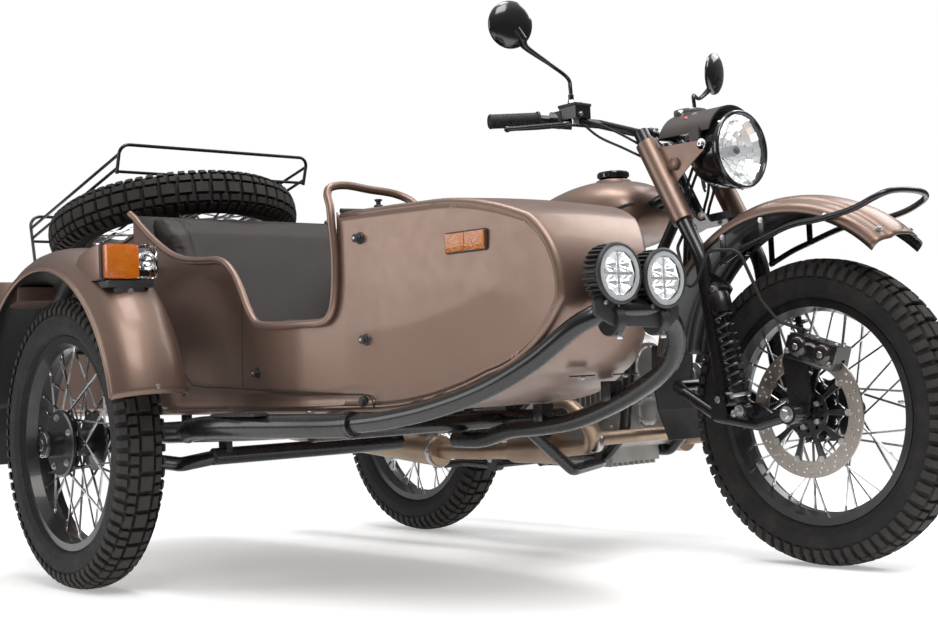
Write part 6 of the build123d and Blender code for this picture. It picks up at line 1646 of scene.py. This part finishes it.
for s in SIDES:
    hp.lathe([(9, 0), (9, 22)], (1245.7, s * 62, 740.5), (0, s, 0), 0, 20)
    hp.bolt((1245.7, s * 88, 740.5), (0, s, 0), 6, 1)
    for x, zh, ze in ((1308, 709, 772), (1423, 750, 800), (1600, 780, 790)):
        hp.block((x - 8, s * 90.5 - 1.5, min(zh, ze) - 8), (x + 8, s * 90.5 + 1.5, max(zh, ze)), 0, 1.0)
        hp.bolt((x, s * 92, ze - 6), (0, s, 0), 4.5, 1)
    hp.bolt((1715, s * 60, 744), (0.6, s * 0.4, 0.7), 5.0, 1)
hp.prism([(1046, 522), (1041, 440), (1056, 360), (1088, 284), (1092, 286), (1060, 361), (1045, 440),
          (1050, 521)],
         (0, 72, 0), X, Z, 144, 2, 1.2)
for y in (-48, 0, 48):
    hp.bolt((1043.4, y, 506), (-1, 0, 0.05), 4.5, 1)
hp.done()

# ------------------------------------------------------------------ sidecar mudguard
# the guard's outer face uses the darker bronze copy, painted shade
sg = Piece("sidecar_guard_sheet", "chassis", shaded_guard_paint, black, steel, soft_rubber, slot="bronze_paint")
GUARD_SECTION = [(-1323, 381), (-1324.5, 388), (-1323, 394), (-1316, 400), (-1306, 412), (-1292, 422.5),
                 (-1272, 430.5), (-1248, 435.5),
      (-1225, 437.5), (-1200, 436.5), (-1176, 431), (-1160, 422), (-1150, 409), (-1147, 394), (-1146.5, 381)]
rings = []
for k in range(73):
    t = math.radians(10.5 + 162 * k / 72)
    rings.append([sg.bm.verts.new(P(LEAD + r * math.cos(t), y, SIDE_GUARD[2] + r * math.sin(t))) for y,
                  r in GUARD_SECTION])
sg.strips(rings)
thicken(sg.done(replaces=("sidecar_mudguard",), auto=50), 0.0028)
sy = Piece("sidecar_guard_fittings", "chassis", bronze, black, steel, soft_rubber, slot="black_paint")
arc = [(LEAD + 384 * math.cos(math.radians(t)), -1323.5, SIDE_GUARD[2] + 384 * math.sin(math.radians(t)))
       for t in range(11, 173, 6)]
sy.tube(arc, 4.6, 0, 10, 2)
for angle in (90, 150):
    a = math.radians(angle)
    x, z = LEAD + 393 * math.cos(a), SIDE_GUARD[2] + 393 * math.sin(a)
    sy.lathe([(7, 0), (7, 129), (0.1, 129)], (x, -1148, z), Y, 1, 18)
    sy.lathe([(7.2, 0), (20, 0), (20, 3), (7.2, 3)], (x, -1022.5, z), Y, 1, 28)
    sy.bolt((x, -1150, z), RIGHT, 6.5, 2)
sy.prism([(-182, 470), (-188, 432), (-222, 288), (-227, 288), (-194, 432), (-188, 470)], (0, -1160, 0), X,
         Z, 142, 3, 1.2)
for t, y, r in ((12.6, -1236, 434.5), (168, -1176, 434), (168, -1296, 422)):
    n = (math.cos(math.radians(t)), 0, math.sin(math.radians(t)))
    sy.bolt((LEAD + r * n[0], y, SIDE_GUARD[2] + r * n[2]), n, 5.5, 2)
sy.done()

# ------------------------------------------------------------------ floor
bpy.ops.mesh.primitive_plane_add(size=60, location=(0, 0, 0))
floor = bpy.context.object
floor.name = "floor"
floor_mat = Finish("studio_floor", (0.92, 0.92, 0.915), 0.0, 0.8)
floor_mat.mottle(0.8, 3, (0.90, 0.90, 0.895), 0.5)
floor_mat.grain(220, 3, 0.05, 0.0005)
floor_mat.glow(0.34)
reach = floor_mat.node("ShaderNodeVectorMath", operation="LENGTH")
floor_mat.link(floor_mat.coord, reach.inputs[0])
fade = floor_mat.node("ShaderNodeMixShader")
floor_mat.link(floor_mat.ramp(reach.outputs["Value"], 1.9, 3.6), fade.inputs[0])
floor_mat.link(floor_mat.bsdf.outputs[0], fade.inputs[1])
floor_mat.link(floor_mat.node("ShaderNodeBsdfTransparent").outputs[0], fade.inputs[2])
floor_mat.link(fade.outputs[0],
               next(n for n in floor_mat.mat.node_tree.nodes if n.type == "OUTPUT_MATERIAL").inputs[0])
floor.data.materials.append(floor_mat.mat)
